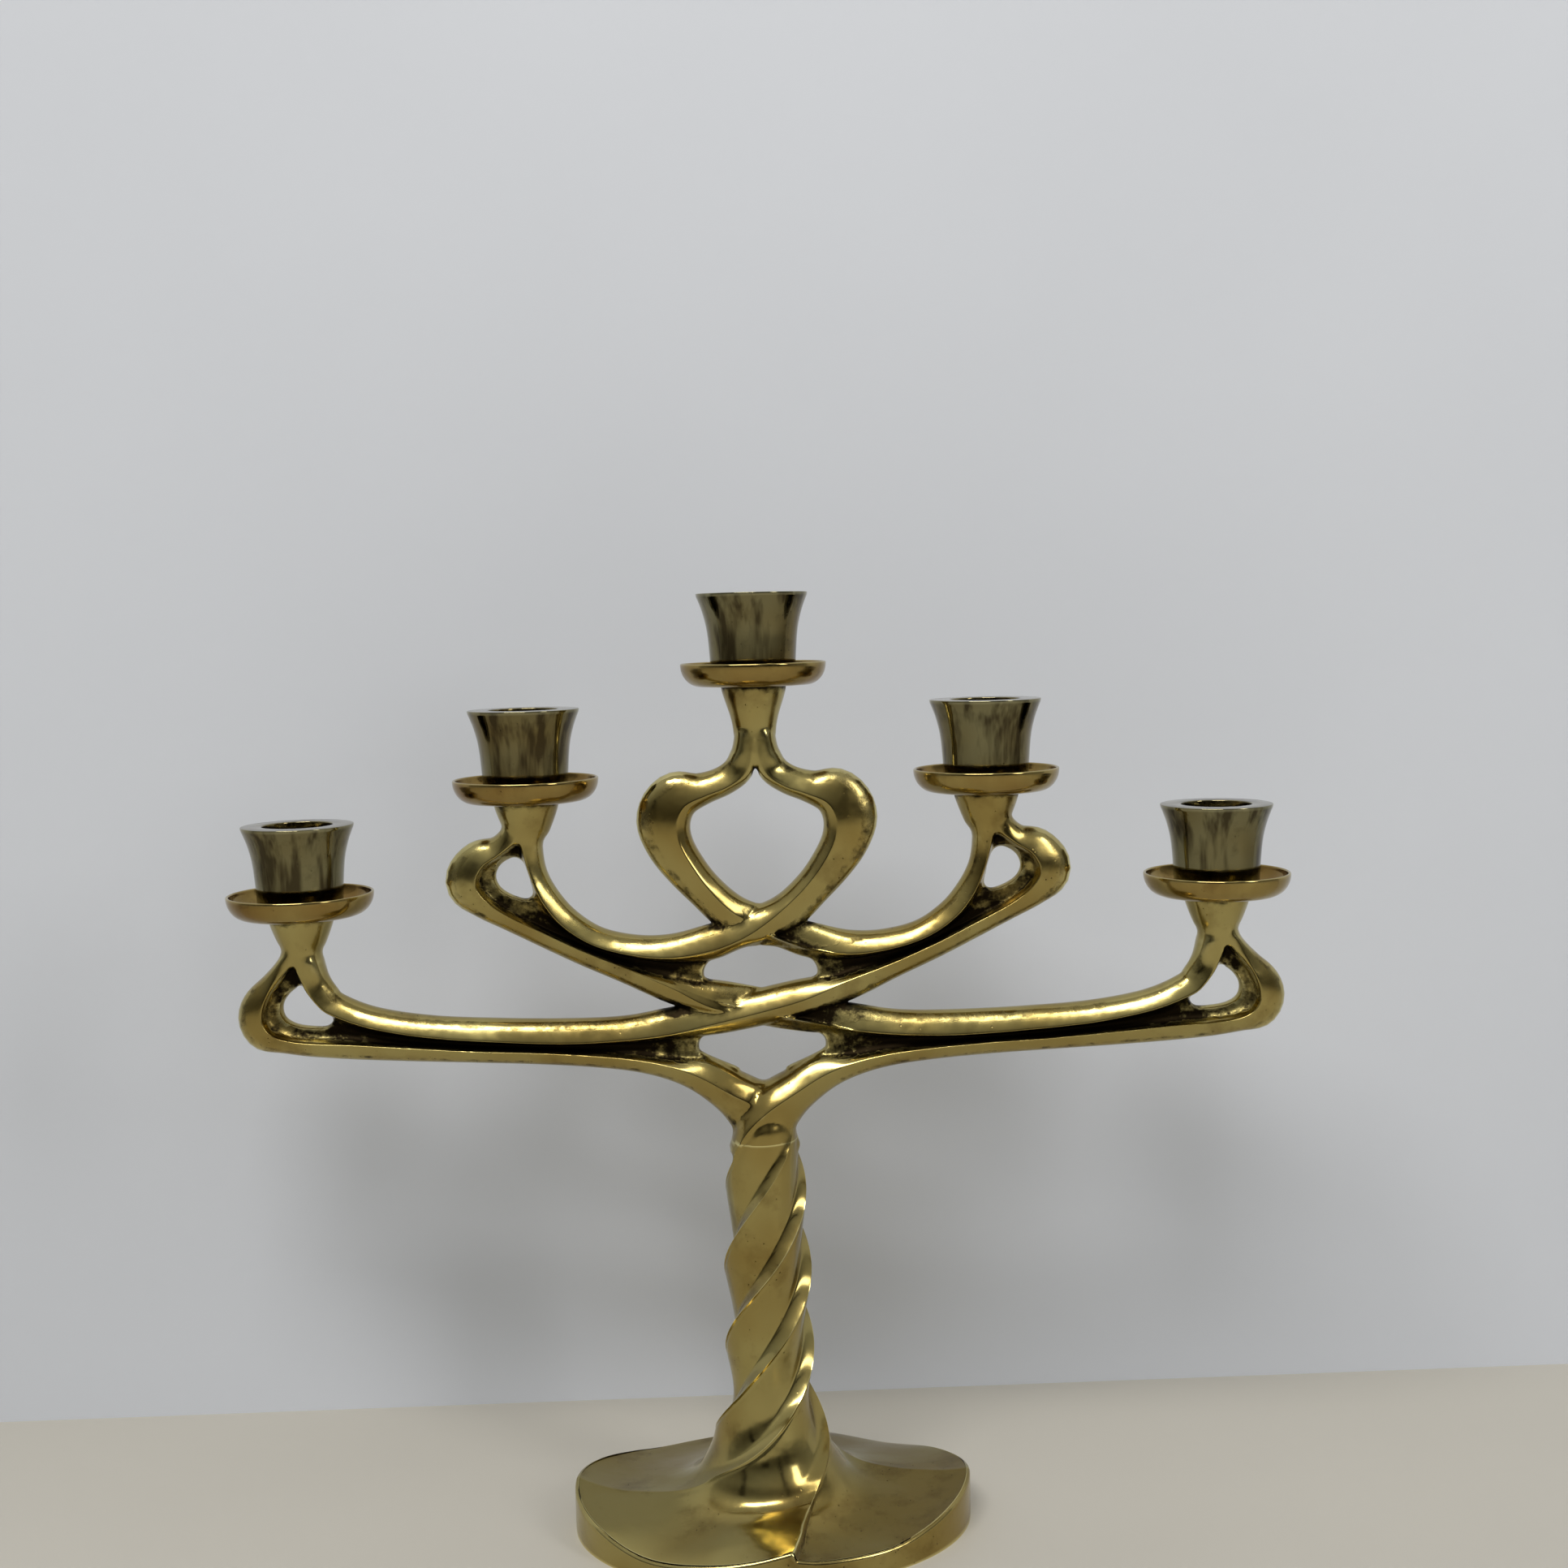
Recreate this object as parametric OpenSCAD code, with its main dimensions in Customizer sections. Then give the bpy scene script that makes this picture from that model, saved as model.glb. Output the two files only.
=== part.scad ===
// Five-light table candelabrum in cast and turned brass.
// Two long strands sweep across the middle in front and two behind, each pair a half turn
// of the other about the stem. The lowest strands wind down into a twisted stem with four
// sharp lips, and the stem opens into an oval, leaf-shaped hollow foot.

/* [Proportions] */
// Distance between neighbouring candle axes
arm_pitch = 73; // [66:1:80]
// Drop from one tier of lights to the next
tier_step = 35; // [32:0.5:38]
// Height of the joint between stem and branches above the table
stem_h = 127; // [120:1:134]
// Height from that joint to the seat under the middle light
crown_h = 145.5; // [139:0.5:152]

/* [Strands] */
// Usual width of a strand's polished face
strand_w = 7; // [6:0.25:8]
// Thickness of a strand from front to back
strand_t = 12; // [11:0.25:13.5]
// How far each strand stands forward or back of the middle where two of them cross
cross_shift = 2.5; // [1.5:0.25:3]
// Thickness of the sunk web between two strands
web_t = 4.4; // [3.6:0.2:5.6]
// Radius of the round seat on top of each neck
neck_r = 10.1; // [9.4:0.1:11]

/* [Stem] */
// Radius of the stem at the bottom of its grooves
groove_r = 10.7; // [10.5:0.1:11.4]
// Height of the four twisted lips above the grooves
lip_rise = 3.1; // [1:0.1:3.4]

/* [Foot] */
// Half length of the oval foot
foot_rx = 64.5; // [58:0.5:72]
// Half depth of the oval foot
foot_ry = 48; // [44:0.5:54]
// Height of the foot's rim at its two tips
rim_h = 15; // [13:0.25:17]
// Radius of the top edge of the rim
rim_edge = 1.2; // [0.8:0.1:1.6]
// Height at which the foot has narrowed to the stem
flare_h = 46; // [43:0.5:50]
// Radius of the round root of the flare
flare_r = 20; // [19:0.25:22]
// Extra height of the swelling beside each fold
swell_h = 2.4; // [0:0.2:3]
// Wall of the hollow foot
foot_wall = 3.6; // [3:0.2:4.2]

/* [Drip pans] */
// Radius of a pan's rim
pan_r = 23; // [21:0.5:25]
// Height of a pan
pan_h = 7.3; // [6:0.1:8.5]
// Radius of a pan's flat underside
pan_flat_r = 17; // [15.5:0.25:18]
// Wall of a pan
pan_wall = 1.6; // [1.3:0.1:2]

/* [Candle nozzles] */
// Radius of the socket that holds the candle
socket_r = 11; // [10.5:0.1:11.8]
// Depth of that socket
socket_depth = 19; // [17:0.5:19.5]
// Height of a nozzle
nozzle_h = 27.5; // [27:0.5:32]
// Radius of a nozzle's waist just above the pan
nozzle_r = 13.3; // [13:0.1:14.5]
// Radius of a nozzle's flat rim
nozzle_rim_r = 17.6; // [16.5:0.1:19]

/* [Fixings] */
// Radius of the threaded studs under the nozzles
stud_r = 2.5; // [2:0.25:3]
// Depth of the stud in the neck
stud_root = 10; // [8:0.5:12]
// Length of stud inside the nozzle
stud_reach = 6; // [5:0.25:6.5]
// Radius of the tie rod inside the stem
rod_r = 3; // [2.5:0.25:3.25]
// Depth of the tie rod in the branches
rod_grip = 15; // [12:0.5:16]
// Radius of the spigot under the branches
spigot_r = 6; // [5.5:0.1:6.4]
// Length of that spigot
spigot_h = 8; // [6:0.5:10]
// Radius of the locating dowel
dowel_r = 1.1; // [0.9:0.05:1.2]
// Length of the locating dowel
dowel_h = 8; // [6:0.5:10]
// Distance of the dowel from the axis of the stem
dowel_reach = 8; // [7.8:0.1:8.2]
// Radius of the flat seat under the foot
seat_r = 13; // [11:0.25:14]
// Height of that seat above the table
seat_z = 11.6; // [11.4:0.1:12.2]
// Radius of the washer under the seat
washer_r = 8; // [7:0.25:8.5]
// Thickness of the washer
washer_t = 1.2; // [0.8:0.1:1.6]
// Half width of the nut across its corners
nut_r = 5.8; // [5.2:0.1:6.4]
// Thickness of the nut
nut_h = 4.8; // [4:0.1:5]
// Length of rod that shows below the nut
rod_tail = 1.8; // [1:0.1:2.4]

/* [Fits] */
// Radial play of a turning thread
run_gap = 0.05; // [0.02:0.01:0.09]
// Radial play of a part that stays put
seat_gap = 0.03; // [0.01:0.01:0.08]
// Radial play of a clearance hole
free_gap = 0.3; // [0.2:0.05:0.5]

/* [Hidden] */

// Places of the five lights, counted from the middle
LEFT_OUTER = -2;
LEFT_INNER = -1;
CENTRE = 0;
RIGHT_INNER = 1;
RIGHT_OUTER = 2;
crown_z = stem_h + crown_h;
middle_neck_h = crown_h * 0.165;
side_neck_h = crown_h * 0.135;
overrun = seat_z / 10;

// Ridge lines of the strands. Each row holds the place along the arm in arm pitches,
// the drop below the sloping line of the tiers as a share of the crown height,
// then the width on the left and on the right of the ridge as shares of the strand width.
// From the left outer neck, across the front, to the right inner neck
long_strand_shares = [
    [-2.014, 0.083, 1.00, 0.21], [-1.980, 0.152, 0.97, 0.28], [-1.925, 0.210, 0.94, 0.29],
    [-1.863, 0.248, 0.86, 0.31], [-1.700, 0.318, 0.80, 0.34], [-1.450, 0.401, 0.84, 0.31],
    [-1.150, 0.487, 0.93, 0.26], [-0.850, 0.567, 1.00, 0.27], [-0.600, 0.622, 0.97, 0.43],
    [-0.410, 0.659, 1.09, 0.63], [-0.220, 0.685, 1.06, 0.61], [0.000, 0.712, 0.97, 0.76],
    [0.190, 0.641, 0.86, 0.86], [0.385, 0.555, 0.71, 0.99], [0.575, 0.473, 0.40, 0.80],
    [0.765, 0.386, 0.31, 0.74], [0.930, 0.305, 0.40, 0.74], [1.080, 0.230, 0.43, 0.76],
    [1.178, 0.173, 0.43, 0.97], [1.225, 0.123, 0.43, 1.46], [1.192, 0.091, 0.40, 1.23],
    [1.110, 0.083, 0.34, 0.80], [1.041, 0.069, 0.21, 0.86], [1.014, 0.042, 0.17, 0.89]
];
long_cross_row = 11;

// From the left inner neck, across the front, round the right of the loop to the middle neck
loop_strand_shares = [
    [-1.014, 0.042, 0.94, 0.17], [-1.008, 0.098, 0.77, 0.26], [-0.980, 0.166, 0.66, 0.34],
    [-0.930, 0.239, 0.74, 0.37], [-0.843, 0.312, 0.77, 0.34], [-0.712, 0.385, 0.74, 0.31],
    [-0.548, 0.448, 0.81, 0.40], [-0.384, 0.495, 0.97, 0.61], [-0.220, 0.522, 1.11, 0.51],
    [-0.096, 0.531, 1.06, 0.49], [0.000, 0.527, 0.97, 0.80], [0.110, 0.458, 0.60, 1.17],
    [0.212, 0.384, 0.54, 1.17], [0.288, 0.316, 0.57, 1.34], [0.337, 0.255, 0.59, 1.60],
    [0.345, 0.209, 0.60, 1.89], [0.307, 0.182, 0.54, 1.71], [0.220, 0.183, 0.43, 1.06],
    [0.123, 0.188, 0.37, 0.93], [0.060, 0.184, 0.46, 0.90], [0.027, 0.150, 0.43, 0.78]
];
loop_cross_row = 10;

// From the right outer neck, under the arm and across the front into the stem
low_strand_shares = [
    [2.020, 0.074, 0.71, 0.17], [2.066, 0.094, 0.54, 0.26], [2.123, 0.120, 0.66, 0.34],
    [2.164, 0.150, 1.06, 0.40], [2.175, 0.181, 1.26, 0.43], [2.150, 0.215, 1.17, 0.43],
    [2.089, 0.247, 0.77, 0.40], [1.973, 0.285, 0.74, 0.37], [1.780, 0.337, 0.80, 0.40],
    [1.534, 0.406, 0.74, 0.34], [1.260, 0.482, 0.66, 0.27], [0.986, 0.555, 0.66, 0.26],
    [0.740, 0.623, 0.66, 0.34], [0.548, 0.681, 0.69, 0.51], [0.397, 0.735, 0.76, 0.71],
    [0.267, 0.790, 0.91, 0.89], [0.137, 0.858, 1.16, 0.94], [0.027, 0.921, 1.75, 0.90],
    [-0.040, 0.965, 1.90, 0.60]
];
low_cross_row = 17;

// Rows of the strands between which the webs lie
long_web_end = 10;
long_web_start = 13;
loop_web_end = 8;
low_web_end = 15;

// Outlines of the openings, in the same shares of arm pitch and crown height
outer_eye_shares = [
    [1.997, 0.154], [2.058, 0.155], [2.095, 0.173], [2.088, 0.202], [2.041, 0.229],
    [1.973, 0.252], [1.907, 0.268], [1.879, 0.259], [1.910, 0.229], [1.962, 0.185]
];
inner_eye_shares = [
    [1.060, 0.109], [1.118, 0.108], [1.142, 0.127], [1.126, 0.156], [1.077, 0.186],
    [1.014, 0.211], [0.985, 0.205], [1.000, 0.168], [1.016, 0.134]
];

// Rounded ends of the two open lenses, with their radius in shares of the strand width
lens_end_shares = [[0.205, 0.742, 0.75], [0.197, 0.574, 0.50]];

// Across a strand: the share of its width from the ridge to the edge, left positive
across_shares = [1, 0.82, 0, -0.82, -1];
// How far the face of a strand has fallen at its edge, as a share of its height,
// and how close to the edge it turns round to the other side
facet_fall_share = 0.55;
edge_power = 8;
// Distance from a crossing within which the strands move apart, in strand widths
cross_span_share = 3.7;

// Profile of a neck: depth below its seat and radius, as shares of its length and seat
neck_shares = [[0, 1], [0.17, 0.92], [0.38, 0.745], [0.58, 0.67], [0.76, 0.67], [0.9, 0.6], [1, 0.3]];

// Twisted stem from the root of the flare to the joint. Each row holds the height as a
// share of the flare height or of what is left up to the joint, the groove radius as a share,
// the rise of the lips as a share, how much of it every second lip has, and the turn in degrees.
flare_shares = [
    [0.43, 2.00, 0.40, 1, 38], [0.54, 1.75, 0.65, 1, 60], [0.65, 1.48, 0.85, 1, 81],
    [0.76, 1.25, 0.95, 1, 100], [0.87, 1.10, 1.00, 1, 117], [1.00, 1.02, 1.00, 1, 137]
];
stem_shares = [
    [0.00, 1.02, 1.00, 1, 137], [0.17, 1.00, 1.00, 1, 183], [0.33, 1.00, 1.00, 1, 228],
    [0.48, 1.00, 1.00, 1, 271], [0.64, 1.00, 1.00, 1, 313], [0.80, 1.00, 1.00, 0.95, 351],
    [0.91, 1.00, 0.95, 0.75, 382], [1.00, 1.00, 0.90, 0.4, 408]
];
// The same twist carried on into the branches: height above the joint in shares of the
// crown height, then as above
throat_shares = [
    [0.000, 1.00, 0.90, 0.4, 408], [0.035, 0.93, 0.50, 0.1, 427], [0.070, 0.70, 0.15, 0, 445],
    [0.100, 0.45, 0.05, 0, 461], [0.125, 0.25, 0.05, 0, 474]
];
// Share of the way from one lip to the next at which the groove lies, and how the faces
// beside a lip curve down to it
groove_at = 0.78;
broad_face_power = 1.5;
narrow_face_power = 2;
lip_step = 90;

// Foot from the rim inwards: reach from the flare's root out to the rim, height as a share
// of the flare height, how closely the height follows the rim, the turn, and the swelling
foot_shares = [
    [0.93, 0.208, 0.80, 1, 0.3], [0.80, 0.203, 0.58, 3, 0.7], [0.64, 0.207, 0.40, 6, 1.0],
    [0.48, 0.222, 0.27, 9, 1.0], [0.32, 0.248, 0.17, 14, 0.8], [0.20, 0.290, 0.09, 20, 0.5],
    [0.11, 0.350, 0.04, 28, 0.2]
];
foot_mean_share = 0.66;
// Height of the rim round one half of the foot: degrees from the tip, share of the tip's height
rim_shares = [
    [0, 1.00], [11, 0.87], [24, 0.69], [44, 0.41], [64, 0.46], [81, 0.58], [97.4, 0.77],
    [98.6, 0.60], [110, 0.51], [134, 0.51], [148, 0.66], [160, 0.86], [171, 0.96], [180, 1.00]
];
// Directions at which the foot and stem have points, in degrees from the tip
foot_angles = [0, 8, 20, 32, 44, 56, 68, 80, 90, 97.4, 98.6, 108, 118, 129, 141, 152, 163, 172];
// How far in the hollow follows the top before it levels out to the seat
hollow_reach = 0.25;
fold_angle = 98;
swell_start = 18;
swell_rise = 62;
// How much the foot's outline leans towards its two long petals
foot_lean_share = 0.02;

// Nozzle outline: height and how far the radius has grown from the waist to the rim
nozzle_shares = [
    [0, 0], [0.20, 0.05], [0.40, 0.13], [0.55, 0.22], [0.67, 0.35], [0.80, 0.57], [0.90, 0.80],
    [0.965, 0.97], [1, 1]
];
pan_edge = pan_wall * 0.8;

// Smooth curve through rows of numbers, with a number of steps from each row to the next
function knot(p0, p1, p2, p3, t) =
    0.5 * (2 * p1 + (p2 - p0) * t + (2 * p0 - 5 * p1 + 4 * p2 - p3) * t * t
    + (3 * p1 - p0 - 3 * p2 + p3) * t * t * t);
function curve(rows, steps) = concat(
    [for (i = [0 : len(rows) - 2], k = [0 : steps - 1])
        knot(rows[max(i - 1, 0)], rows[i], rows[i + 1], rows[min(i + 2, len(rows) - 1)], k / steps)],
    [rows[len(rows) - 1]]);
function closed_curve(rows, steps) =
    [for (i = [0 : len(rows) - 1], k = [0 : steps - 1]) let (n = len(rows))
        knot(rows[(i + n - 1) % n], rows[i], rows[(i + 1) % n], rows[(i + 2) % n], k / steps)];

// Place in the plane of the arms of a row of shares
function arm_place(row) =
    [row[0] * arm_pitch, crown_z - tier_step * abs(row[0]) - row[1] * crown_h];
function light_place(i) = [i * arm_pitch, 0, crown_z - abs(i) * tier_step];
function backwards(rows) = [for (i = [len(rows) - 1 : -1 : 0]) rows[i]];
function mirrored(points) = [for (p = points) [-p[0], p[1]]];
function reverse_mirrored(points) = backwards(mirrored(points));

// Height of a strand's face above its middle plane, from the ridge to the edge
function face_share(s) = (1 - facet_fall_share * abs(s)) * sqrt(1 - pow(s, edge_power));

// Points of one ring across a strand
function strand_ring(at, heading, left, right, shift) =
    let (normal = [-heading[1], heading[0]], front = across_shares,
        back = [for (k = [len(front) - 2 : -1 : 1]) front[k]])
    concat(
        [for (s = front) ring_point(at, normal, s, left, right, shift - face_share(s) * strand_t / 2)],
        [for (s = back) ring_point(at, normal, s, left, right, shift + face_share(s) * strand_t / 2)]);
function ring_point(at, normal, s, left, right, y) =
    let (aside = s * (s > 0 ? left : right))
    [at[0] + normal[0] * aside, y, at[1] + normal[1] * aside];

// Forward shift of a strand near its crossing
function crossing_shift(at, crossing) =
    let (d = norm(at - crossing) / (cross_span_share * strand_w))
    -cross_shift * pow(max(0, 1 - d * d), 2);

// Faces of a closed tube of rings, each ring with the same number of points
function tube_faces(rings, sides) = concat(
    [for (i = [0 : rings - 2], j = [0 : sides - 1], half = [0, 1])
        let (a = i * sides + j, b = i * sides + (j + 1) % sides)
        half == 0 ? [a, a + sides, b] : [b, a + sides, b + sides]],
    [[for (j = [0 : sides - 1]) j]],
    [[for (j = [sides - 1 : -1 : 0]) (rings - 1) * sides + j]]);

module tube(rings) {
    sides = len(rings[0]);
    polyhedron([for (ring = rings, p = ring) p], tube_faces(len(rings), sides), convexity = 6);
}

// Joins its children at their own size, so that round bores can then be cut through them
module one_surface() {
    resize([0, 0, 0]) children();
}

module strand(shares, cross_row, steps) {
    rows = curve([for (row = shares) concat(arm_place(row), [row[2] * strand_w, row[3] * strand_w])], steps);
    places = [for (row = rows) [row[0], row[1]]];
    crossing = arm_place(shares[cross_row]);
    last = len(rows) - 1;
    tube([for (i = [0 : last])
        let (run = places[min(i + 1, last)] - places[max(i - 1, 0)], heading = run / norm(run))
        strand_ring(places[i], heading, rows[i][2], rows[i][3], crossing_shift(places[i], crossing))]);
}

// A flat piece or a cutter in the plane of the arms, centred front to back
module in_arm_plane(points, depth) {
    rotate([90, 0, 0]) linear_extrude(depth, center = true) polygon(points);
}

function part_of(rows, first, last) = [for (i = [first : last]) arm_place(rows[i])];

// Sunk webs of the right arms, open at the eyes
module webs() {
    last_row = len(long_strand_shares) - 1;
    difference() {
        union() {
            in_arm_plane(concat(part_of(low_strand_shares, 0, low_web_end),
                reverse_mirrored(part_of(long_strand_shares, 0, long_web_end))), web_t);
            in_arm_plane(concat(part_of(long_strand_shares, long_web_start, last_row),
                mirrored(part_of(loop_strand_shares, 0, loop_web_end))), web_t);
        }
        for (shares = [outer_eye_shares, inner_eye_shares])
            in_arm_plane([for (row = closed_curve(shares, 2)) arm_place(row)], strand_t);
        for (row = lens_end_shares) translate([arm_place(row)[0], 0, arm_place(row)[1]]) rotate([90, 0, 0])
            cylinder(h = strand_t, r = row[2] * strand_w, center = true, $fn = 20);
    }
}

module neck(h) {
    rotate_extrude($fn = 28)
        polygon(concat([[0, -h], [0, 0]], [for (row = neck_shares) [row[1] * neck_r, -row[0] * h]]));
}

// Share of the lips' rise in a direction within half a turn, where every second lip
// may be lower than the others
function lip_share(a, second) =
    let (t = (a % lip_step) / lip_step, past = a >= lip_step)
    t < groove_at ? (past ? second : 1) * pow(1 - t / groove_at, broad_face_power)
    : (past ? 1 : second) * pow((t - groove_at) / (1 - groove_at), narrow_face_power);

// One ring of the stem's section, from a row of shares at a height
function lipped_ring(z, row) =
    [for (half = [0, 180], a = foot_angles)
        let (r = row[1] * groove_r + row[2] * lip_rise * lip_share(a, row[3]), direction = a + half + row[4])
        [r * cos(direction), r * sin(direction), z]];

module throat() {
    tube([for (row = curve(throat_shares, 3)) lipped_ring(stem_h + row[0] * crown_h, row)]);
}

module branch_casting() {
    difference() {
        union() {
            for (side = [0, 180]) rotate([0, 0, side]) {
                strand(long_strand_shares, long_cross_row, 2);
                strand(loop_strand_shares, loop_cross_row, 2);
                strand(low_strand_shares, low_cross_row, 2);
                webs();
            }
            for (i = [LEFT_OUTER : RIGHT_OUTER]) translate(light_place(i))
                neck(i == CENTRE ? middle_neck_h : side_neck_h);
            throat();
        }
        translate([0, 0, stem_h - crown_h / 2]) cube([arm_pitch * 2, arm_pitch * 2, crown_h], center = true);
    }
}

module branches() {
    color("darkgoldenrod") difference() {
        union() {
            one_surface() branch_casting();
            translate([0, 0, stem_h - spigot_h]) cylinder(h = spigot_h + overrun, r = spigot_r, $fn = 48);
        }
        translate([0, 0, stem_h - spigot_h - overrun])
            cylinder(h = rod_grip + overrun, r = rod_r + seat_gap, $fn = 48);
        translate([0, dowel_reach, stem_h - overrun])
            cylinder(h = dowel_h / 2 + seat_gap + overrun, r = dowel_r + seat_gap, $fn = 24);
        for (i = [LEFT_OUTER : RIGHT_OUTER]) translate(light_place(i) - [0, 0, stud_root + seat_gap])
            cylinder(h = stud_root + seat_gap + overrun, r = stud_r + seat_gap, $fn = 32);
    }
}

// Height of the rim in a direction, and reach of the foot's outline there
function rim_height(a, i = 0) =
    let (near = rim_shares[i], next = rim_shares[i + 1])
    a <= next[0] ? rim_h * (near[1] + (next[1] - near[1]) * ease((a - near[0]) / (next[0] - near[0])))
    : rim_height(a, i + 1);
function ease(t) = t * t * (3 - 2 * t);
function foot_reach(direction) =
    (1 + foot_lean_share * sin(2 * direction)) / sqrt(pow(cos(direction) / foot_rx, 2)
    + pow(sin(direction) / foot_ry, 2));
function swelling(a) = a > fold_angle ? 0 : ease(min(1, max(0, (a - swell_start) / swell_rise)));

// Rings of the foot, drawn in by an inset and lowered by a sink for the hollow underneath
function foot_ring(reach, level, follow, turn, swell, inset, sink) =
    [for (half = [0, 180], a = foot_angles)
        let (direction = a + half + turn,
            r = flare_r + (foot_reach(direction) - flare_r) * reach - inset,
            rim = follow * (rim_height(a) - foot_mean_share * rim_h),
            z = level + rim + swell * swelling(a) * swell_h - sink)
        [r * cos(direction), r * sin(direction), z]];
function foot_top(rows, inset, sink) =
    [for (row = rows) foot_ring(row[0], row[1] * flare_h, row[2], row[3], row[4], inset, sink)];
function rim_ring(inset, drop) = foot_ring(1, foot_mean_share * rim_h, 1, 0, 0, inset, drop);
function flat_ring(inset, z) = [for (p = rim_ring(inset, 0)) [p[0], p[1], z]];

module foot_outside() {
    rim_bevel = rim_edge * 0.3;
    tube(concat(
        [flat_ring(0, 0), rim_ring(0, rim_edge), rim_ring(rim_bevel, rim_bevel), rim_ring(rim_edge, 0)],
        foot_top(foot_shares, 0, 0),
        [for (row = part_head(flare_shares)) lipped_ring(row[0] * flare_h, row)],
        [for (row = curve(stem_shares, 4)) lipped_ring(flare_h + row[0] * (stem_h - flare_h), row)]));
}
function part_head(rows) = [for (i = [0 : len(rows) - 2]) rows[i]];

module foot_hollow() {
    seat = [for (half = [0, 180], a = foot_angles) [seat_r * cos(a + half), seat_r * sin(a + half), seat_z]];
    tube(concat([flat_ring(foot_wall, -overrun), rim_ring(foot_wall, foot_wall + rim_edge)],
        foot_top([for (row = foot_shares) if (row[0] > hollow_reach) row], foot_wall, foot_wall), [seat]));
}

module foot_stem() {
    color("goldenrod") difference() {
        one_surface() difference() {
            foot_outside();
            foot_hollow();
        }
        translate([0, 0, seat_z - overrun]) cylinder(h = stem_h, r = rod_r + free_gap, $fn = 48);
        translate([0, 0, stem_h - spigot_h - seat_gap])
            cylinder(h = spigot_h + seat_gap + overrun, r = spigot_r + seat_gap, $fn = 48);
        translate([0, dowel_reach, stem_h - dowel_h / 2 - seat_gap])
            cylinder(h = dowel_h / 2 + seat_gap + overrun, r = dowel_r + seat_gap, $fn = 24);
    }
}

module tie_rod() {
    rod_foot = seat_z - washer_t - nut_h - rod_tail;
    rod_top = stem_h - spigot_h + rod_grip - seat_gap;
    color("silver") translate([0, 0, rod_foot]) cylinder(h = rod_top - rod_foot, r = rod_r, $fn = 48);
}

module rod_washer() {
    color("silver") translate([0, 0, seat_z - washer_t]) difference() {
        cylinder(h = washer_t, r = washer_r, $fn = 48);
        translate([0, 0, -overrun]) cylinder(h = washer_t + overrun * 2, r = rod_r + free_gap, $fn = 48);
    }
}

module rod_nut() {
    color("silver") translate([0, 0, seat_z - washer_t - nut_h]) difference() {
        cylinder(h = nut_h, r = nut_r, $fn = 6);
        translate([0, 0, -overrun]) cylinder(h = nut_h + overrun * 2, r = rod_r + seat_gap, $fn = 48);
    }
}

module locating_dowel() {
    color("silver") translate([0, dowel_reach, stem_h - dowel_h / 2])
        cylinder(h = dowel_h, r = dowel_r, $fn = 24);
}

module nozzle_stud(i) {
    color("silver") translate(light_place(i)) translate([0, 0, -stud_root])
        cylinder(h = stud_root + pan_wall + stud_reach, r = stud_r, $fn = 32);
}

// Points along a quarter of an ellipse from its foot to its side
function quarter(cx, cy, rx, ry, steps) =
    [for (k = [0 : steps]) let (a = 90 * k / steps) [cx + rx * sin(a), cy - ry * cos(a)]];

module drip_pan(i) {
    bowl_w = pan_r - pan_flat_r;
    color("goldenrod") translate(light_place(i)) rotate_extrude($fn = 96)
        polygon(concat(
            [[stud_r + free_gap, pan_wall], [stud_r + free_gap, 0]],
            quarter(pan_flat_r, pan_h - pan_edge, bowl_w, pan_h - pan_edge, 8),
            [[pan_r - pan_edge * 0.4, pan_h - pan_edge * 0.2], [pan_r - pan_edge, pan_h]],
            backwards(quarter(pan_flat_r - pan_wall, pan_h - pan_edge, bowl_w,
                pan_h - pan_edge - pan_wall, 7))));
}

module candle_nozzle(i) {
    grow = nozzle_rim_r - nozzle_r;
    color("darkkhaki") translate(light_place(i)) translate([0, 0, pan_wall]) difference() {
        rotate_extrude($fn = 96)
            polygon(concat([[0, nozzle_h], [0, 0]],
                [for (row = curve(nozzle_shares, 3)) [nozzle_r + row[1] * grow, row[0] * nozzle_h]]));
        translate([0, 0, nozzle_h - socket_depth])
            cylinder(h = socket_depth + overrun, r = socket_r, $fn = 96);
        translate([0, 0, -overrun])
            cylinder(h = stud_reach + run_gap + overrun, r = stud_r + run_gap, $fn = 32);
    }
}

foot_stem();
branches();
tie_rod();
rod_washer();
rod_nut();
locating_dowel();
nozzle_stud(LEFT_OUTER);  // nozzle_stud_left_outer
nozzle_stud(LEFT_INNER);  // nozzle_stud_left_inner
nozzle_stud(CENTRE);  // nozzle_stud_centre
nozzle_stud(RIGHT_INNER);  // nozzle_stud_right_inner
nozzle_stud(RIGHT_OUTER);  // nozzle_stud_right_outer
drip_pan(LEFT_OUTER);  // drip_pan_left_outer
drip_pan(LEFT_INNER);  // drip_pan_left_inner
drip_pan(CENTRE);  // drip_pan_centre
drip_pan(RIGHT_INNER);  // drip_pan_right_inner
drip_pan(RIGHT_OUTER);  // drip_pan_right_outer
candle_nozzle(LEFT_OUTER);  // candle_nozzle_left_outer
candle_nozzle(LEFT_INNER);  // candle_nozzle_left_inner
candle_nozzle(CENTRE);  // candle_nozzle_centre
candle_nozzle(RIGHT_INNER);  // candle_nozzle_right_inner
candle_nozzle(RIGHT_OUTER);  // candle_nozzle_right_outer
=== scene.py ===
"""Five-light brass candle holder: cast branches on a twisted stem, turned drip pans and nozzles."""

import math

import bmesh
import bpy
import numpy as np
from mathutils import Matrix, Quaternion, Vector
from mathutils.bvhtree import BVHTree
from mathutils.kdtree import KDTree


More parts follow.
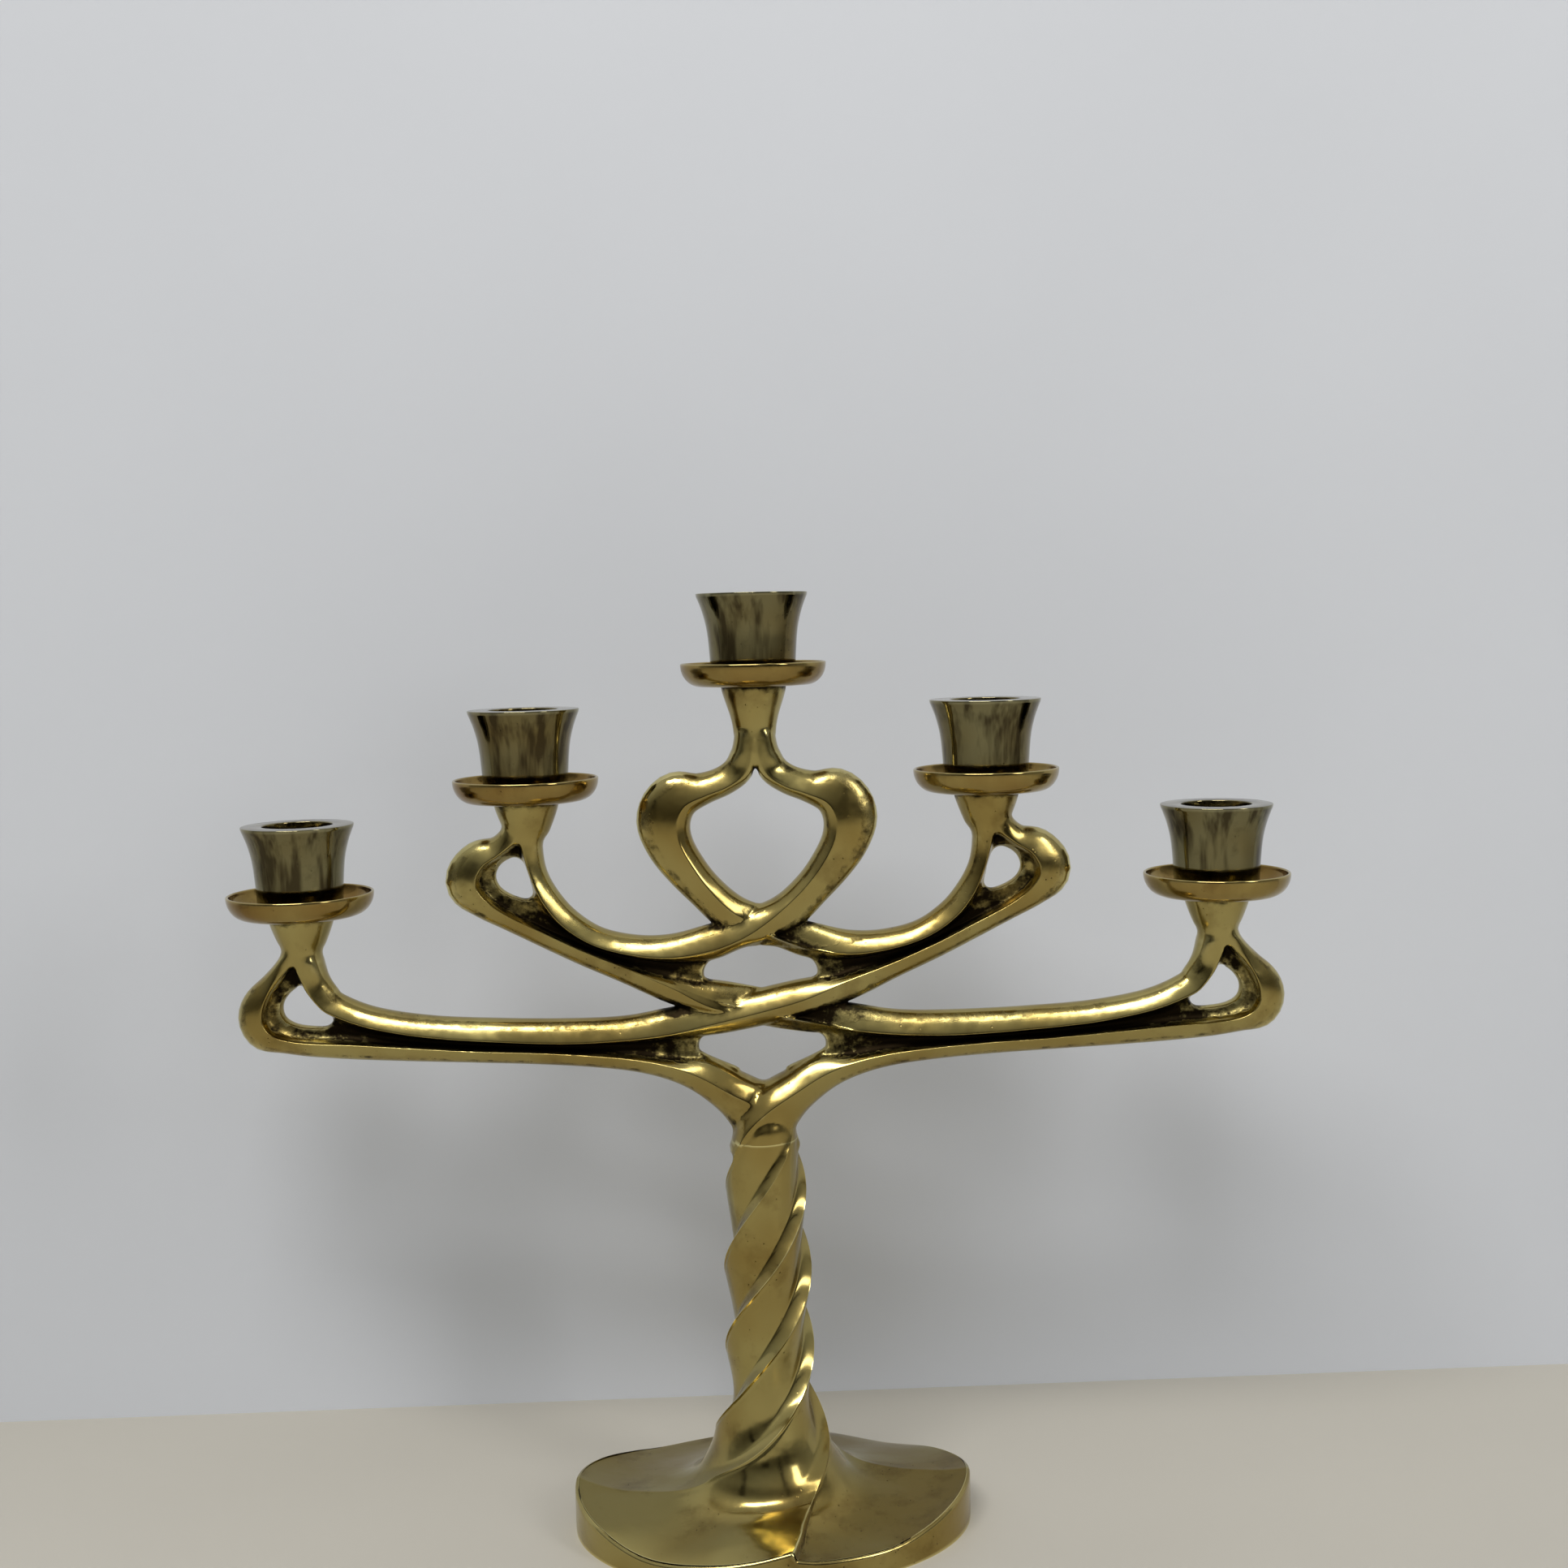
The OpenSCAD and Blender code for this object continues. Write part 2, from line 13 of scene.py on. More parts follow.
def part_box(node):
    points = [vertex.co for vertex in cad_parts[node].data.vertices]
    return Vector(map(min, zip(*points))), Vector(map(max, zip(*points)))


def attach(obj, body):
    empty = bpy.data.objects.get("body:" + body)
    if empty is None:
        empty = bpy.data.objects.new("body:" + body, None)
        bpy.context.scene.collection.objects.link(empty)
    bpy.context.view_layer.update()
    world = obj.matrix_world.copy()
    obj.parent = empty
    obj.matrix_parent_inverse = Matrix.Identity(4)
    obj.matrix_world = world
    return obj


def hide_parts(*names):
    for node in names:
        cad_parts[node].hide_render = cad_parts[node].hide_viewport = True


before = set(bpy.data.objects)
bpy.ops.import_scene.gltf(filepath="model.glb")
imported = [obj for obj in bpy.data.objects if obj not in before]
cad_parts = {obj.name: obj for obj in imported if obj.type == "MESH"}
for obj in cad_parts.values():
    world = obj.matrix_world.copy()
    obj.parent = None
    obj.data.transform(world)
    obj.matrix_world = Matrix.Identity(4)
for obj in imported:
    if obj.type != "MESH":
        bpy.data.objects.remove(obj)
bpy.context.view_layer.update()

MM = 0.001
LIGHTS = ("left_outer", "left_inner", "centre", "right_inner", "right_outer")


def box_mm(node):
    """Lowest and highest corner of a node in millimetres."""
    low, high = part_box(node)
    return np.array(low) / MM, np.array(high) / MM


def seat_of(light):
    """Middle of a drip pan's flat underside, in millimetres."""
    low, high = box_mm("drip_pan_" + light)
    return np.array([(low[0] + high[0]) / 2, (low[1] + high[1]) / 2, low[2]])


SEATS = {light: seat_of(light) for light in LIGHTS}
STEM_TOP = box_mm("foot_stem")[1][2]

# Camera and surroundings

FRAME_PX = 1932
FOCAL_PX = 2300
SENSOR_MM = 36
CAMERA_AT = (0.0089, -0.5897, 0.2926)
CAMERA_DOWN_DEG = 5.0
CAMERA_ROLL_DEG = 1.35
WALL_Y = 0.0974
WALL_TURN = 0.0332


def make_camera():
    data = bpy.data.cameras.new("camera")
    data.sensor_width = SENSOR_MM
    data.lens = SENSOR_MM * FOCAL_PX / FRAME_PX
    data.clip_start = 0.01
    camera = bpy.data.objects.new("camera", data)
    bpy.context.scene.collection.objects.link(camera)
    down = math.radians(CAMERA_DOWN_DEG)
    forward = Vector((0, math.cos(down), -math.sin(down)))
    camera.rotation_mode = "QUATERNION"
    camera.rotation_quaternion = Quaternion(forward, math.radians(CAMERA_ROLL_DEG)) @ forward.to_track_quat("-Z", "Y")
    camera.location = CAMERA_AT
    bpy.context.scene.camera = camera


def add_panel(name, corners, material):
    mesh = bpy.data.meshes.new(name)
    mesh.from_pydata(corners, [], [tuple(range(len(corners)))])
    mesh.materials.append(material)
    panel = bpy.data.objects.new(name, mesh)
    bpy.context.scene.collection.objects.link(panel)
    return panel


def add_lamp(name, place, aim, size, watts, colour):
    data = bpy.data.lights.new(name, "AREA")
    data.shape = "RECTANGLE"
    data.size, data.size_y = size
    data.energy = watts
    data.color = colour
    lamp = bpy.data.objects.new(name, data)
    bpy.context.scene.collection.objects.link(lamp)
    lamp.location = place
    lamp.rotation_mode = "QUATERNION"
    lamp.rotation_quaternion = (Vector(aim) - Vector(place)).to_track_quat("-Z", "Y")


# Small node helpers


class Nodes:
    """Adds nodes to a tree in a few words."""

    def __init__(self, tree):
        self.tree = tree

    def add(self, kind, settings=None, **sockets):
        node = self.tree.nodes.new(kind)
        for key, value in (settings or {}).items():
            setattr(node, key, value)
        for key, value in sockets.items():
            self.put(node.inputs[key.replace("_", " ")], value)
        return node

    def put(self, socket, value):
        if isinstance(value, bpy.types.NodeSocket):
            self.tree.links.new(value, socket)
        else:
            socket.default_value = value

    def maths(self, operation, a, b=0.0):
        node = self.tree.nodes.new("ShaderNodeMath")
        node.operation = operation
        self.put(node.inputs[0], a)
        self.put(node.inputs[1], b)
        return node.outputs[0]

    def mix(self, factor, a, b):
        node = self.tree.nodes.new("ShaderNodeMix")
        node.data_type = "RGBA"
        self.put(node.inputs[0], factor)
        self.put(node.inputs[6], a)
        self.put(node.inputs[7], b)
        return node.outputs[2]

    def ramp(self, value, low, high, to_low=0.0, to_high=1.0):
        node = self.tree.nodes.new("ShaderNodeMapRange")
        self.put(node.inputs["Value"], value)
        node.inputs["From Min"].default_value = low
        node.inputs["From Max"].default_value = high
        node.inputs["To Min"].default_value = to_low
        node.inputs["To Max"].default_value = to_high
        return node.outputs[0]

    def noise(self, vector, scale, detail=3.0, roughness=0.55):
        node = self.add("ShaderNodeTexNoise", Scale=scale, Detail=detail, Roughness=roughness)
        self.put(node.inputs["Vector"], vector)
        return node.outputs["Fac"]


def rgb(r, g, b):
    """A screen colour from 0 to 255 as linear light."""
    return tuple((v / 255 / 12.92 if v <= 10 else ((v / 255 + 0.055) / 1.055) ** 2.4) for v in (r, g, b)) + (1.0,)


PALE_FLOOR = rgb(190, 186, 176)
PALE_WALL = rgb(212, 216, 224)
ROOM_CEILING = rgb(176, 177, 175)
ROOM_FRONT = rgb(78, 77, 71)
ROOM_SIDE = rgb(150, 152, 154)
ROOM_DARK = rgb(22, 20, 16)
# Each card holds its two sides, its bottom and its top, as slopes away from straight ahead.
DARK_CARDS = [((-0.95, -0.72), -1.0, 0.5), ((-0.16, 0.1), -1.0, 0.16),
              ((0.42, 0.56), -1.0, 0.75), ((0.7, 1.1), -1.0, 0.2)]
STAGE_REACH = 3.0


def stage_material(name, colour, roughness):
    """A pale matt surface that can't be seen from behind."""
    material = bpy.data.materials.new(name)
    material.use_nodes = True
    tree = material.node_tree
    tree.nodes.clear()
    n = Nodes(tree)
    coords = n.add("ShaderNodeTexCoord").outputs["Object"]
    grain = n.noise(coords, 3.0)
    shade = n.mix(n.ramp(grain, 0.35, 0.65), colour, tuple(c * 0.96 for c in colour[:3]) + (1.0,))
    matt = n.add("ShaderNodeBsdfPrincipled", Base_Color=shade, Roughness=roughness)
    clear = n.add("ShaderNodeBsdfTransparent")
    behind = n.add("ShaderNodeNewGeometry").outputs["Backfacing"]
    mixed = tree.nodes.new("ShaderNodeMixShader")
    tree.links.new(behind, mixed.inputs[0])
    tree.links.new(matt.outputs[0], mixed.inputs[1])
    tree.links.new(clear.outputs[0], mixed.inputs[2])
    out = n.add("ShaderNodeOutputMaterial")
    tree.links.new(mixed.outputs[0], out.inputs["Surface"])
    return material


def dark_card(n, direction, sides, bottom, top):
    """A soft-edged dark card in front of the object, as a share from 0 to 1 for each direction."""
    x, y, z = direction
    left, right = sides
    ahead = n.maths("MAXIMUM", n.maths("MULTIPLY", y, -1.0), 0.001)
    across = n.maths("DIVIDE", x, ahead)
    inside = n.maths("MULTIPLY", n.ramp(across, left - 0.02, left + 0.02), n.ramp(across, right + 0.02, right - 0.02))
    up = n.maths("DIVIDE", z, ahead)
    level = n.maths("MULTIPLY", n.ramp(up, bottom - 0.03, bottom + 0.03), n.ramp(up, top + 0.05, top - 0.05))
    facing = n.ramp(y, -0.05, -0.2)
    return n.maths("MULTIPLY", n.maths("MULTIPLY", inside, level), facing)


def make_world():
    """A soft room: a bright ceiling, a dimmer front, and a few dark cards for the metal to mirror."""
    world = bpy.data.worlds.new("room")
    bpy.context.scene.world = world
    world.use_nodes = True
    tree = world.node_tree
    tree.nodes.clear()
    n = Nodes(tree)
    direction = n.add("ShaderNodeTexCoord").outputs["Generated"]
    split = n.add("ShaderNodeSeparateXYZ", Vector=direction)
    x, y, z = split.outputs
    front = n.ramp(y, 0.3, -0.6)
    sides = n.mix(front, ROOM_SIDE, ROOM_FRONT)
    room = n.mix(n.ramp(z, 0.15, 0.65), sides, ROOM_CEILING)
    cards = 0.0
    for sides_at, bottom, top in DARK_CARDS:
        cards = n.maths("MAXIMUM", cards, dark_card(n, (x, y, z), sides_at, bottom, top))
    room = n.mix(cards, room, ROOM_DARK)
    seen = n.add("ShaderNodeLightPath").outputs["Is Camera Ray"]
    room = n.mix(seen, room, PALE_WALL)
    sky = n.add("ShaderNodeBackground", Color=room, Strength=1.0)
    out = n.add("ShaderNodeOutputWorld")
    tree.links.new(sky.outputs[0], out.inputs["Surface"])


def make_stage():
    reach = STAGE_REACH
    add_panel("floor", [(-reach, -reach, 0), (reach, -reach, 0), (reach, reach, 0), (-reach, reach, 0)],
              stage_material("pale_floor", PALE_FLOOR, 0.6))
    left, right = WALL_Y - reach * WALL_TURN, WALL_Y + reach * WALL_TURN
    add_panel("wall", [(-reach, left, 0), (reach, right, 0), (reach, right, reach), (-reach, left, reach)],
              stage_material("pale_wall", PALE_WALL, 0.7))
    make_world()
    add_lamp("ceiling_lamp", (-0.35, -1.1, 1.75), (0, 0, 0.15), (1.2, 0.4), 24, (1.0, 0.98, 0.95))
    add_lamp("side_lamp", (1.1, -0.9, 0.9), (0, 0, 0.15), (0.3, 0.8), 5, (1.0, 0.98, 0.95))


# Curves


def knot(p0, p1, p2, p3, t):
    """A point of a Catmull-Rom curve between its two middle points."""
    return 0.5 * (2 * p1 + (p2 - p0) * t + (2 * p0 - 5 * p1 + 4 * p2 - p3) * t**2
                  + (3 * p1 - p0 - 3 * p2 + p3) * t**3)


def smooth_rows(rows, steps, closed=False):
    """A smooth curve through rows of numbers, with a number of steps between them."""
    rows = np.array(rows, float)
    count = len(rows)
    out = []
    for i in range(count if closed else count - 1):
        near = [(i + k) % count if closed else min(max(i + k, 0), count - 1) for k in (-1, 0, 1, 2)]
        for k in range(steps):
            out.append(knot(*(rows[j] for j in near), k / steps))
    if not closed:
        out.append(rows[-1])
    return np.array(out)


def even_rows(rows, spacing):
    """The same curve with rows evenly spaced along its first two columns."""
    fine = smooth_rows(rows, 24)
    run = np.concatenate([[0], np.cumsum(np.hypot(*np.diff(fine[:, :2], axis=0).T))])
    count = max(2, int(round(run[-1] / spacing)))
    at = np.linspace(0, run[-1], count + 1)
    return np.stack([np.interp(at, run, fine[:, k]) for k in range(fine.shape[1])], axis=1)


# Strands of the branches, in millimetres in the plane of the arms.
# Each row holds the place of the ridge, the width on its left and on its right going along it,
# and how far it stands forward of the middle. Near a crossing it also holds how far the rear ridge
# stands back and how far that one lies to the right.

LONG_STRAND = [
    (-147, 195, 6.2, 1.2, 6.6), (-147, 190, 7.0, 1.2, 6.6), (-144.6, 181, 6.8, 1.3, 6.2),
    (-140.6, 174.6, 6.6, 1.3, 6.0),
    (-136, 171.2, 6.0, 1.3, 6.0), (-124, 166.8, 5.6, 1.2, 6.0), (-106, 163.4, 5.9, 1.1, 6.0),
    (-84, 161.4, 6.5, 0.9, 6.0), (-62, 160.3, 7.0, 1.0, 6.0), (-44, 160.9, 6.8, 1.5, 6.0),
    (-30, 162.3, 7.6, 2.0, 6.2, 5.4, 0), (-16, 165.2, 7.4, 4.3, 6.5, 3.4, 0.6),
    (0, 168.9, 6.8, 5.3, 6.7, 2.8, 1.6), (14, 172.6, 6.0, 6.0, 6.4, 6.0, 2.5),
    (28, 178.3, 2.5, 6.9, 6.0, 6.0, 1.0), (42, 183.6, 1.4, 5.6, 6.0),
    (56, 189.6, 1.1, 5.2, 6.0), (68, 195.6, 1.2, 5.2, 6.0), (79, 201.2, 1.3, 5.2, 6.0),
    (86, 206.2, 1.5, 6.8, 6.0), (89.4, 211.8, 1.6, 10.2, 6.2), (87, 217.6, 1.6, 8.6, 6.2),
    (81, 221.6, 1.4, 5.6, 6.0), (76, 226, 1.2, 6.0, 6.2), (74, 231, 1.2, 6.2, 6.5), (73.8, 235, 1.2, 6.0, 6.6),
]
LOOP_STRAND = [
    (-74, 235, 6.2, 1.2, 6.6), (-74, 231, 6.6, 1.2, 6.5), (-73.6, 223, 5.4, 1.2, 6.2),
    (-71.6, 214, 4.6, 1.2, 6.0),
    (-67.8, 205.2, 5.2, 1.3, 6.0), (-61.5, 197.6, 5.4, 1.2, 6.0), (-52, 191.6, 5.2, 1.1, 6.0),
    (-40, 188.2, 5.7, 1.4, 6.0), (-28, 187.1, 6.8, 2.2, 6.1, 5.8, 0), (-16, 188.8, 7.8, 3.6, 6.4, 4.2, 0),
    (-7, 191.9, 7.4, 3.4, 6.7, 2.8, 0.3), (0, 195.8, 6.8, 5.6, 6.7, 2.8, 0.6),
    (8, 202, 4.2, 8.2, 6.4, 6.0, 1.0), (15.5, 209.2, 3.8, 8.2, 6.0, 6.0, 0.5), (21, 216.4, 4.0, 9.4, 6.0),
    (24.6, 223.6, 4.1, 11.2, 6.2),
    (25.2, 230, 4.2, 13.2, 6.4), (22.4, 235.2, 3.8, 12.0, 6.2), (16, 238.2, 3.0, 7.4, 6.0),
    (9, 240.8, 2.6, 6.8, 6.0), (3.6, 244.6, 2.4, 7.2, 6.1), (1.2, 250, 1.6, 6.9, 6.4),
    (0.8, 255, 1.6, 6.0, 6.6), (0.8, 259, 1.6, 5.6, 6.6),
]
LOW_STRAND = [
    (147.3, 195, 4.6, 1.2, 6.6), (147.5, 190.5, 4.9, 1.2, 6.6), (150.8, 186.2, 3.9, 1.3, 6.3),
    (155, 180.8, 4.6, 1.4, 6.0),
    (158, 175, 7.4, 1.5, 6.2), (158.8, 170, 8.8, 1.5, 6.2), (157, 166, 8.2, 1.4, 6.2),
    (152.5, 163.4, 5.4, 1.3, 6.0), (144, 162, 5.2, 1.4, 6.0), (130, 161.2, 5.6, 1.2, 6.0),
    (112, 159.8, 5.2, 1.0, 6.0), (92, 158.3, 4.6, 0.9, 6.0), (72, 157.3, 4.6, 1.0, 6.0),
    (54, 155.9, 4.6, 1.3, 6.0), (40, 154.2, 4.8, 1.8, 6.0), (29, 151.7, 5.3, 2.8, 6.2, 6.2, 0),
    (19.5, 148.2, 6.3, 6.2, 7.0, 7.0, 0), (10, 142.8, 8.1, 6.6, 8.6, 7.8, 0), (2, 137.8, 12.0, 7.0, 9.8, 6.0, 0),
    (-4, 132.5, 13.0, 5.0, 10.3, 4.5, 0), (-7.6, 127, 12.0, 3.0, 9.3, 3.5, 0), (-10.0, 122.5, 10.0, 2.0, 7.6, 3.0, 0),
]

# Places along two ridges, counted in rows, that face each other across a channel.
OUTER_CHANNEL = [(1, 1), (3, 2), (5, 3), (7, 4), (9, 5), (10, 6), (11, 7), (12, 8), (13, 9),
                 (14, 9.6), (15, 10), (16, 11), (17, 12)]
INNER_CHANNEL = [(24, 1), (23, 2), (22, 3), (21, 3.4), (20, 3.8), (19, 4.2), (18, 5), (17, 6),
                 (16, 7), (15, 8), (14, 9), (13, 10), (12, 11)]

RIDGE_ROUND = 0.3
FACET_FALL = (0.42, 0.13)
RING_SPACING = 1.4
NECK_BLEND = (4.0, 20.0)
ACROSS = (1, 0.985, 0.94, 0.86, 0.75, 0.62, 0.48, 0.34, 0.22, 0.13, 0.07, 0.03)

OUTER_EYE = [(145.8, 180.2), (150.2, 178), (152.9, 174), (152.4, 170), (149, 167.7),
             (144, 166.8), (139.2, 166.8), (137.2, 169), (139.4, 172.4), (143.2, 177)]
INNER_EYE = [(77.4, 219.6), (81.6, 217.6), (83.4, 214), (82.2, 210.4), (78.6, 207.8),
             (74, 206.4), (71.9, 208.2), (73, 213), (74.2, 217.4)]
UPPER_LENS = [(0, 189.4), (8, 188.4), (15, 185.8), (18, 181.9), (16.6, 178.4), (8.5, 176.2), (0, 175.5)]
LOWER_LENS = [(0, 163.4), (10, 162.4), (18.4, 160.6), (20.3, 157.3), (18.4, 154.9), (9, 150.6), (0, 146.9)]
# Each row of a neck holds the drop below its drip pan and its radius.
MIDDLE_NECK = [(0, 10.3), (2, 10.0), (5, 9.1), (9, 7.8), (12.5, 7.0), (16, 6.6), (19, 6.0), (21.5, 4.4), (23, 2.0)]
SIDE_NECK = [(0, 10.3), (2, 10.0), (5, 9.0), (8, 7.8), (10.5, 6.6), (13, 4.6), (15, 2.0)]
CHANNEL_FLOOR = 2.2
CHANNEL_EDGE = 5.6
CHANNEL_REACH = 5.0
CHANNEL_ACROSS = 14
CHANNEL_ALONG = 110
HOLE_FLARE = [(-20, 2.4), (-6, 1.7), (-3, 1.1), (-2, 0.6), (-1.1, 0.15), (0, 0),
              (1.1, 0.15), (2, 0.6), (3, 1.1), (6, 1.7), (20, 2.4)]


def half_height(offset, width, crisp):
    """Height of a strand's face, as a share of its half thickness, at an offset from the ridge."""
    sharp = RIDGE_ROUND + (1 - crisp) * 3
    reach = math.hypot(width, sharp) - sharp
    s = min(1.0, (math.hypot(offset, sharp) - sharp) / reach)
    fall = FACET_FALL[0] * s + FACET_FALL[1] * s * s
    return (1 - crisp * fall) * math.sqrt(max(0.0, 1 - s ** (2 + 6 * crisp)))


def tube(rings, closed=False):
    """Vertices and faces of a tube through rings of equal length, with flat ends or joined end to end."""
    sides = len(rings[0])
    count = len(rings)
    faces = []
    for i in range(count if closed else count - 1):
        here, there = i * sides, (i + 1) % count * sides
        for j in range(sides):
            k = (j + 1) % sides
            faces.append((here + j, here + k, there + k, there + j))
    if not closed:
        faces.append(tuple(reversed(range(sides))))
        faces.append(tuple((count - 1) * sides + j for j in range(sides)))
    return np.concatenate(rings), faces


def strand(rows, necks):
    """A strand with a crisp ridge in front and behind, rounded off where it meets a neck."""
    rows = even_rows([tuple(row) + (row[4], 0.0) if len(row) == 5 else row for row in rows], RING_SPACING)
    steps = np.hypot(*np.diff(rows[:, :2], axis=0).T)
    run = np.concatenate([[0], np.cumsum(steps)])
    from_neck = np.minimum(run, run[-1] - run) if necks == 2 else run
    crisp = ease((from_neck - NECK_BLEND[0]) / (NECK_BLEND[1] - NECK_BLEND[0]))
    heading = np.gradient(rows[:, :2], axis=0)
    heading /= np.linalg.norm(heading, axis=1)[:, None]
    aside = np.stack([-heading[:, 1], heading[:, 0]], axis=1)
    front = list(ACROSS) + [0] + [-s for s in reversed(ACROSS)]
    rings = []
    for (x, z, left, right, ahead, behind, move), side, edge in zip(rows, aside, crisp):
        ring = []
        for s in front:
            offset = s * (left if s > 0 else right)
            height = half_height(offset, left if s > 0 else right, edge) * ahead
            ring.append((x + side[0] * offset, -height, z + side[1] * offset))
        for s in reversed(front[1:-1]):
            width = left + move if s > 0 else right - move
            height = half_height(s * width, width, edge) * behind
            offset = s * width - move
            ring.append((x + side[0] * offset, height, z + side[1] * offset))
        rings.append(np.array(ring))
    return tube(rings)


def mesh_object(name, vertices, faces):
    mesh = bpy.data.meshes.new(name)
    mesh.from_pydata([tuple(v) for v in np.array(vertices) * MM], [], faces)
    shape = bpy.data.objects.new(name, mesh)
    bpy.context.scene.collection.objects.link(shape)
    face_outwards(shape)
    return shape


def face_outwards(shape):
    form = bmesh.new()
    form.from_mesh(shape.data)
    bmesh.ops.recalc_face_normals(form, faces=form.faces)
    form.to_mesh(shape.data)
    form.free()


def half_turned(vertices):
    """The same points after half a turn about the stem."""
    return np.array(vertices) * (-1, -1, 1)


def hole(outline):
    """A cutter that flares towards both faces, so that the rim of its hole is rounded."""
    line = smooth_rows(outline, 6, closed=True)
    along = np.roll(line, -1, axis=0) - np.roll(line, 1, axis=0)
    out = np.stack([along[:, 1], -along[:, 0]], axis=1) / np.linalg.norm(along, axis=1)[:, None]
    middle = line.mean(axis=0)
    if ((line - middle) * out).sum() < 0:
        out = -out
    rings = []
    for y, grow in HOLE_FLARE:
        wide = line + out * grow
        rings.append(np.stack([wide[:, 0], np.full(len(wide), y), wide[:, 1]], axis=1))
    return mesh_object("hole", *tube(rings))


def neck(seat, profile):
    turn = np.linspace(0, 2 * math.pi, 72, endpoint=False)
    rings = []
    for drop, radius in smooth_rows(profile, 4):
        rings.append(np.stack([seat[0] + radius * np.cos(turn), seat[1] + radius * np.sin(turn),
                               np.full(len(turn), seat[2] - drop)], axis=1))
    return mesh_object("neck", *tube(rings))


def at_row(rows, place):
    """A point of a smooth curve at a place counted in rows."""
    i = min(int(place), len(rows) - 2)
    near = [rows[min(max(i + k, 0), len(rows) - 1)] for k in (-1, 0, 1, 2)]
    return knot(*(np.array(row[:2], float) for row in near), place - i)


def channel(upper, lower, pairs):
    """The hollow between two ridges: walls that fall from both and meet in a thin floor."""
    pairs = np.array(pairs, float)
    stations = np.linspace(0, len(pairs) - 1, CHANNEL_ALONG)
    across = (1 - np.cos(np.linspace(0, math.pi, CHANNEL_ACROSS))) / 2
    rings = []
    for station in stations:
        a, b = (np.interp(station, range(len(pairs)), pairs[:, k]) for k in (0, 1))
        start = at_row(upper, a)
        finish = at_row(lower, b) * (-1, 1)
        gap = np.linalg.norm(finish - start)
        reach = min(CHANNEL_REACH, gap / 2)
        front = []
        for share in across:
            x, z = start + (finish - start) * share
            fall = max(0.0, 1 - min(share, 1 - share) * gap / max(reach, 0.1)) ** 2
            front.append((x, -(CHANNEL_FLOOR + (CHANNEL_EDGE - CHANNEL_FLOOR) * fall), z))
        back = [(x, -y, z) for x, y, z in reversed(front)]
        rings.append(np.array(front + back))
    return tube(rings)


def full_lens(half):
    return list(half) + [(-x, z) for x, z in reversed(half[1:-1])]


def join(shapes, operation):
    """Unites the shapes, or cuts the others out of the first one, and leaves one object."""
    first = shapes[0]
    others = bpy.data.collections.new("others")
    bpy.context.scene.collection.children.link(others)
    for other in shapes[1:]:
        bpy.context.scene.collection.objects.unlink(other)
        others.objects.link(other)
    change = first.modifiers.new("join", "BOOLEAN")
    change.operation = operation
    change.operand_type = "COLLECTION"
    change.collection = others
    change.solver = "MANIFOLD"
    before = len(first.data.vertices)
    settle(first)
    if len(first.data.vertices) == before:
        raise RuntimeError("join of " + first.name + " changed nothing")
    for other in shapes[1:]:
        bpy.data.objects.remove(other)
    bpy.data.collections.remove(others)
    return first


def settle(shape):
    """Turns a shape with its modifiers into a plain mesh."""
    graph = bpy.context.evaluated_depsgraph_get()
    mesh = bpy.data.meshes.new_from_object(shape.evaluated_get(graph))
    shape.modifiers.clear()
    old = shape.data
    shape.data = mesh
    bpy.data.meshes.remove(old)


def arm_shapes():
    """Strands, necks and channels of the branches."""
    shapes = []
    for rows, necks in ((LONG_STRAND, 2), (LOOP_STRAND, 2), (LOW_STRAND, 1)):
        vertices, faces = strand(rows, necks)
        shapes.append(mesh_object("strand", vertices, faces))
        shapes.append(mesh_object("strand", half_turned(vertices), faces))
    shapes += [neck(SEATS[light], MIDDLE_NECK if light == "centre" else SIDE_NECK) for light in LIGHTS]
    hollows = ((LOW_STRAND, LONG_STRAND, OUTER_CHANNEL, [OUTER_EYE, full_lens(LOWER_LENS)]),
               (LONG_STRAND, LOOP_STRAND, INNER_CHANNEL, [INNER_EYE, full_lens(UPPER_LENS)]))
    for upper, lower, pairs, outlines in hollows:
        vertices, faces = channel(upper, lower, pairs)
        web = join([mesh_object("web", vertices, faces)] + [hole(outline) for outline in outlines], "DIFFERENCE")
        twin = copy_of(web)
        for vertex in twin.data.vertices:
            vertex.co.x, vertex.co.y = -vertex.co.x, -vertex.co.y
        shapes += [web, twin]
    return shapes


def copy_of(shape):
    twin = bpy.data.objects.new(shape.name, shape.data.copy())
    bpy.context.scene.collection.objects.link(twin)
    return twin


def make_castings():
    """The two castings, cut from one flowing surface at the joint on top of the stem, and then softened."""
    whole = join(arm_shapes() + [mesh_object("stem", *foot_and_stem())], "UNION")
    lower = join([copy_of(whole), block(-10, STEM_TOP)], "INTERSECT")
    lower = join([lower, mesh_object("bore", *tube(bore_rings()))], "DIFFERENCE")
    upper = join([whole, block(-10, STEM_TOP)], "DIFFERENCE")
    upper.name, lower.name = "cast_branches", "cast_foot_and_stem"
    soften_creases(upper, *NECK_FILLET, below_neck)
    for casting in (upper, lower):
        soften_creases(casting, *THROAT_FILLET, at_throat)
    soften_creases(upper, *CREASE_FILLET, lambda place: True)
    return upper, lower


def below_neck(place):
    """Whether a point lies where the strands run into one of the necks."""
    feet = (Vector(SEATS[light] - (0, 0, MIDDLE_DROP if light == "centre" else SIDE_DROP)) * MM for light in LIGHTS)
    return any((place - foot).length < NECK_FILLET_SPAN * MM for foot in feet)


def at_throat(place):
    """Whether a point lies where the lowest strands wind into the stem."""
    low, high = THROAT_LEVELS
    return low * MM < place.z < high * MM and abs(place.x) < THROAT_HALF * MM and not in_bore(place)


def in_bore(place):
    return math.hypot(place.x, place.y) < (SPIGOT_HOLE_R + 0.5) * MM and place.z < (STEM_TOP + 0.5) * MM


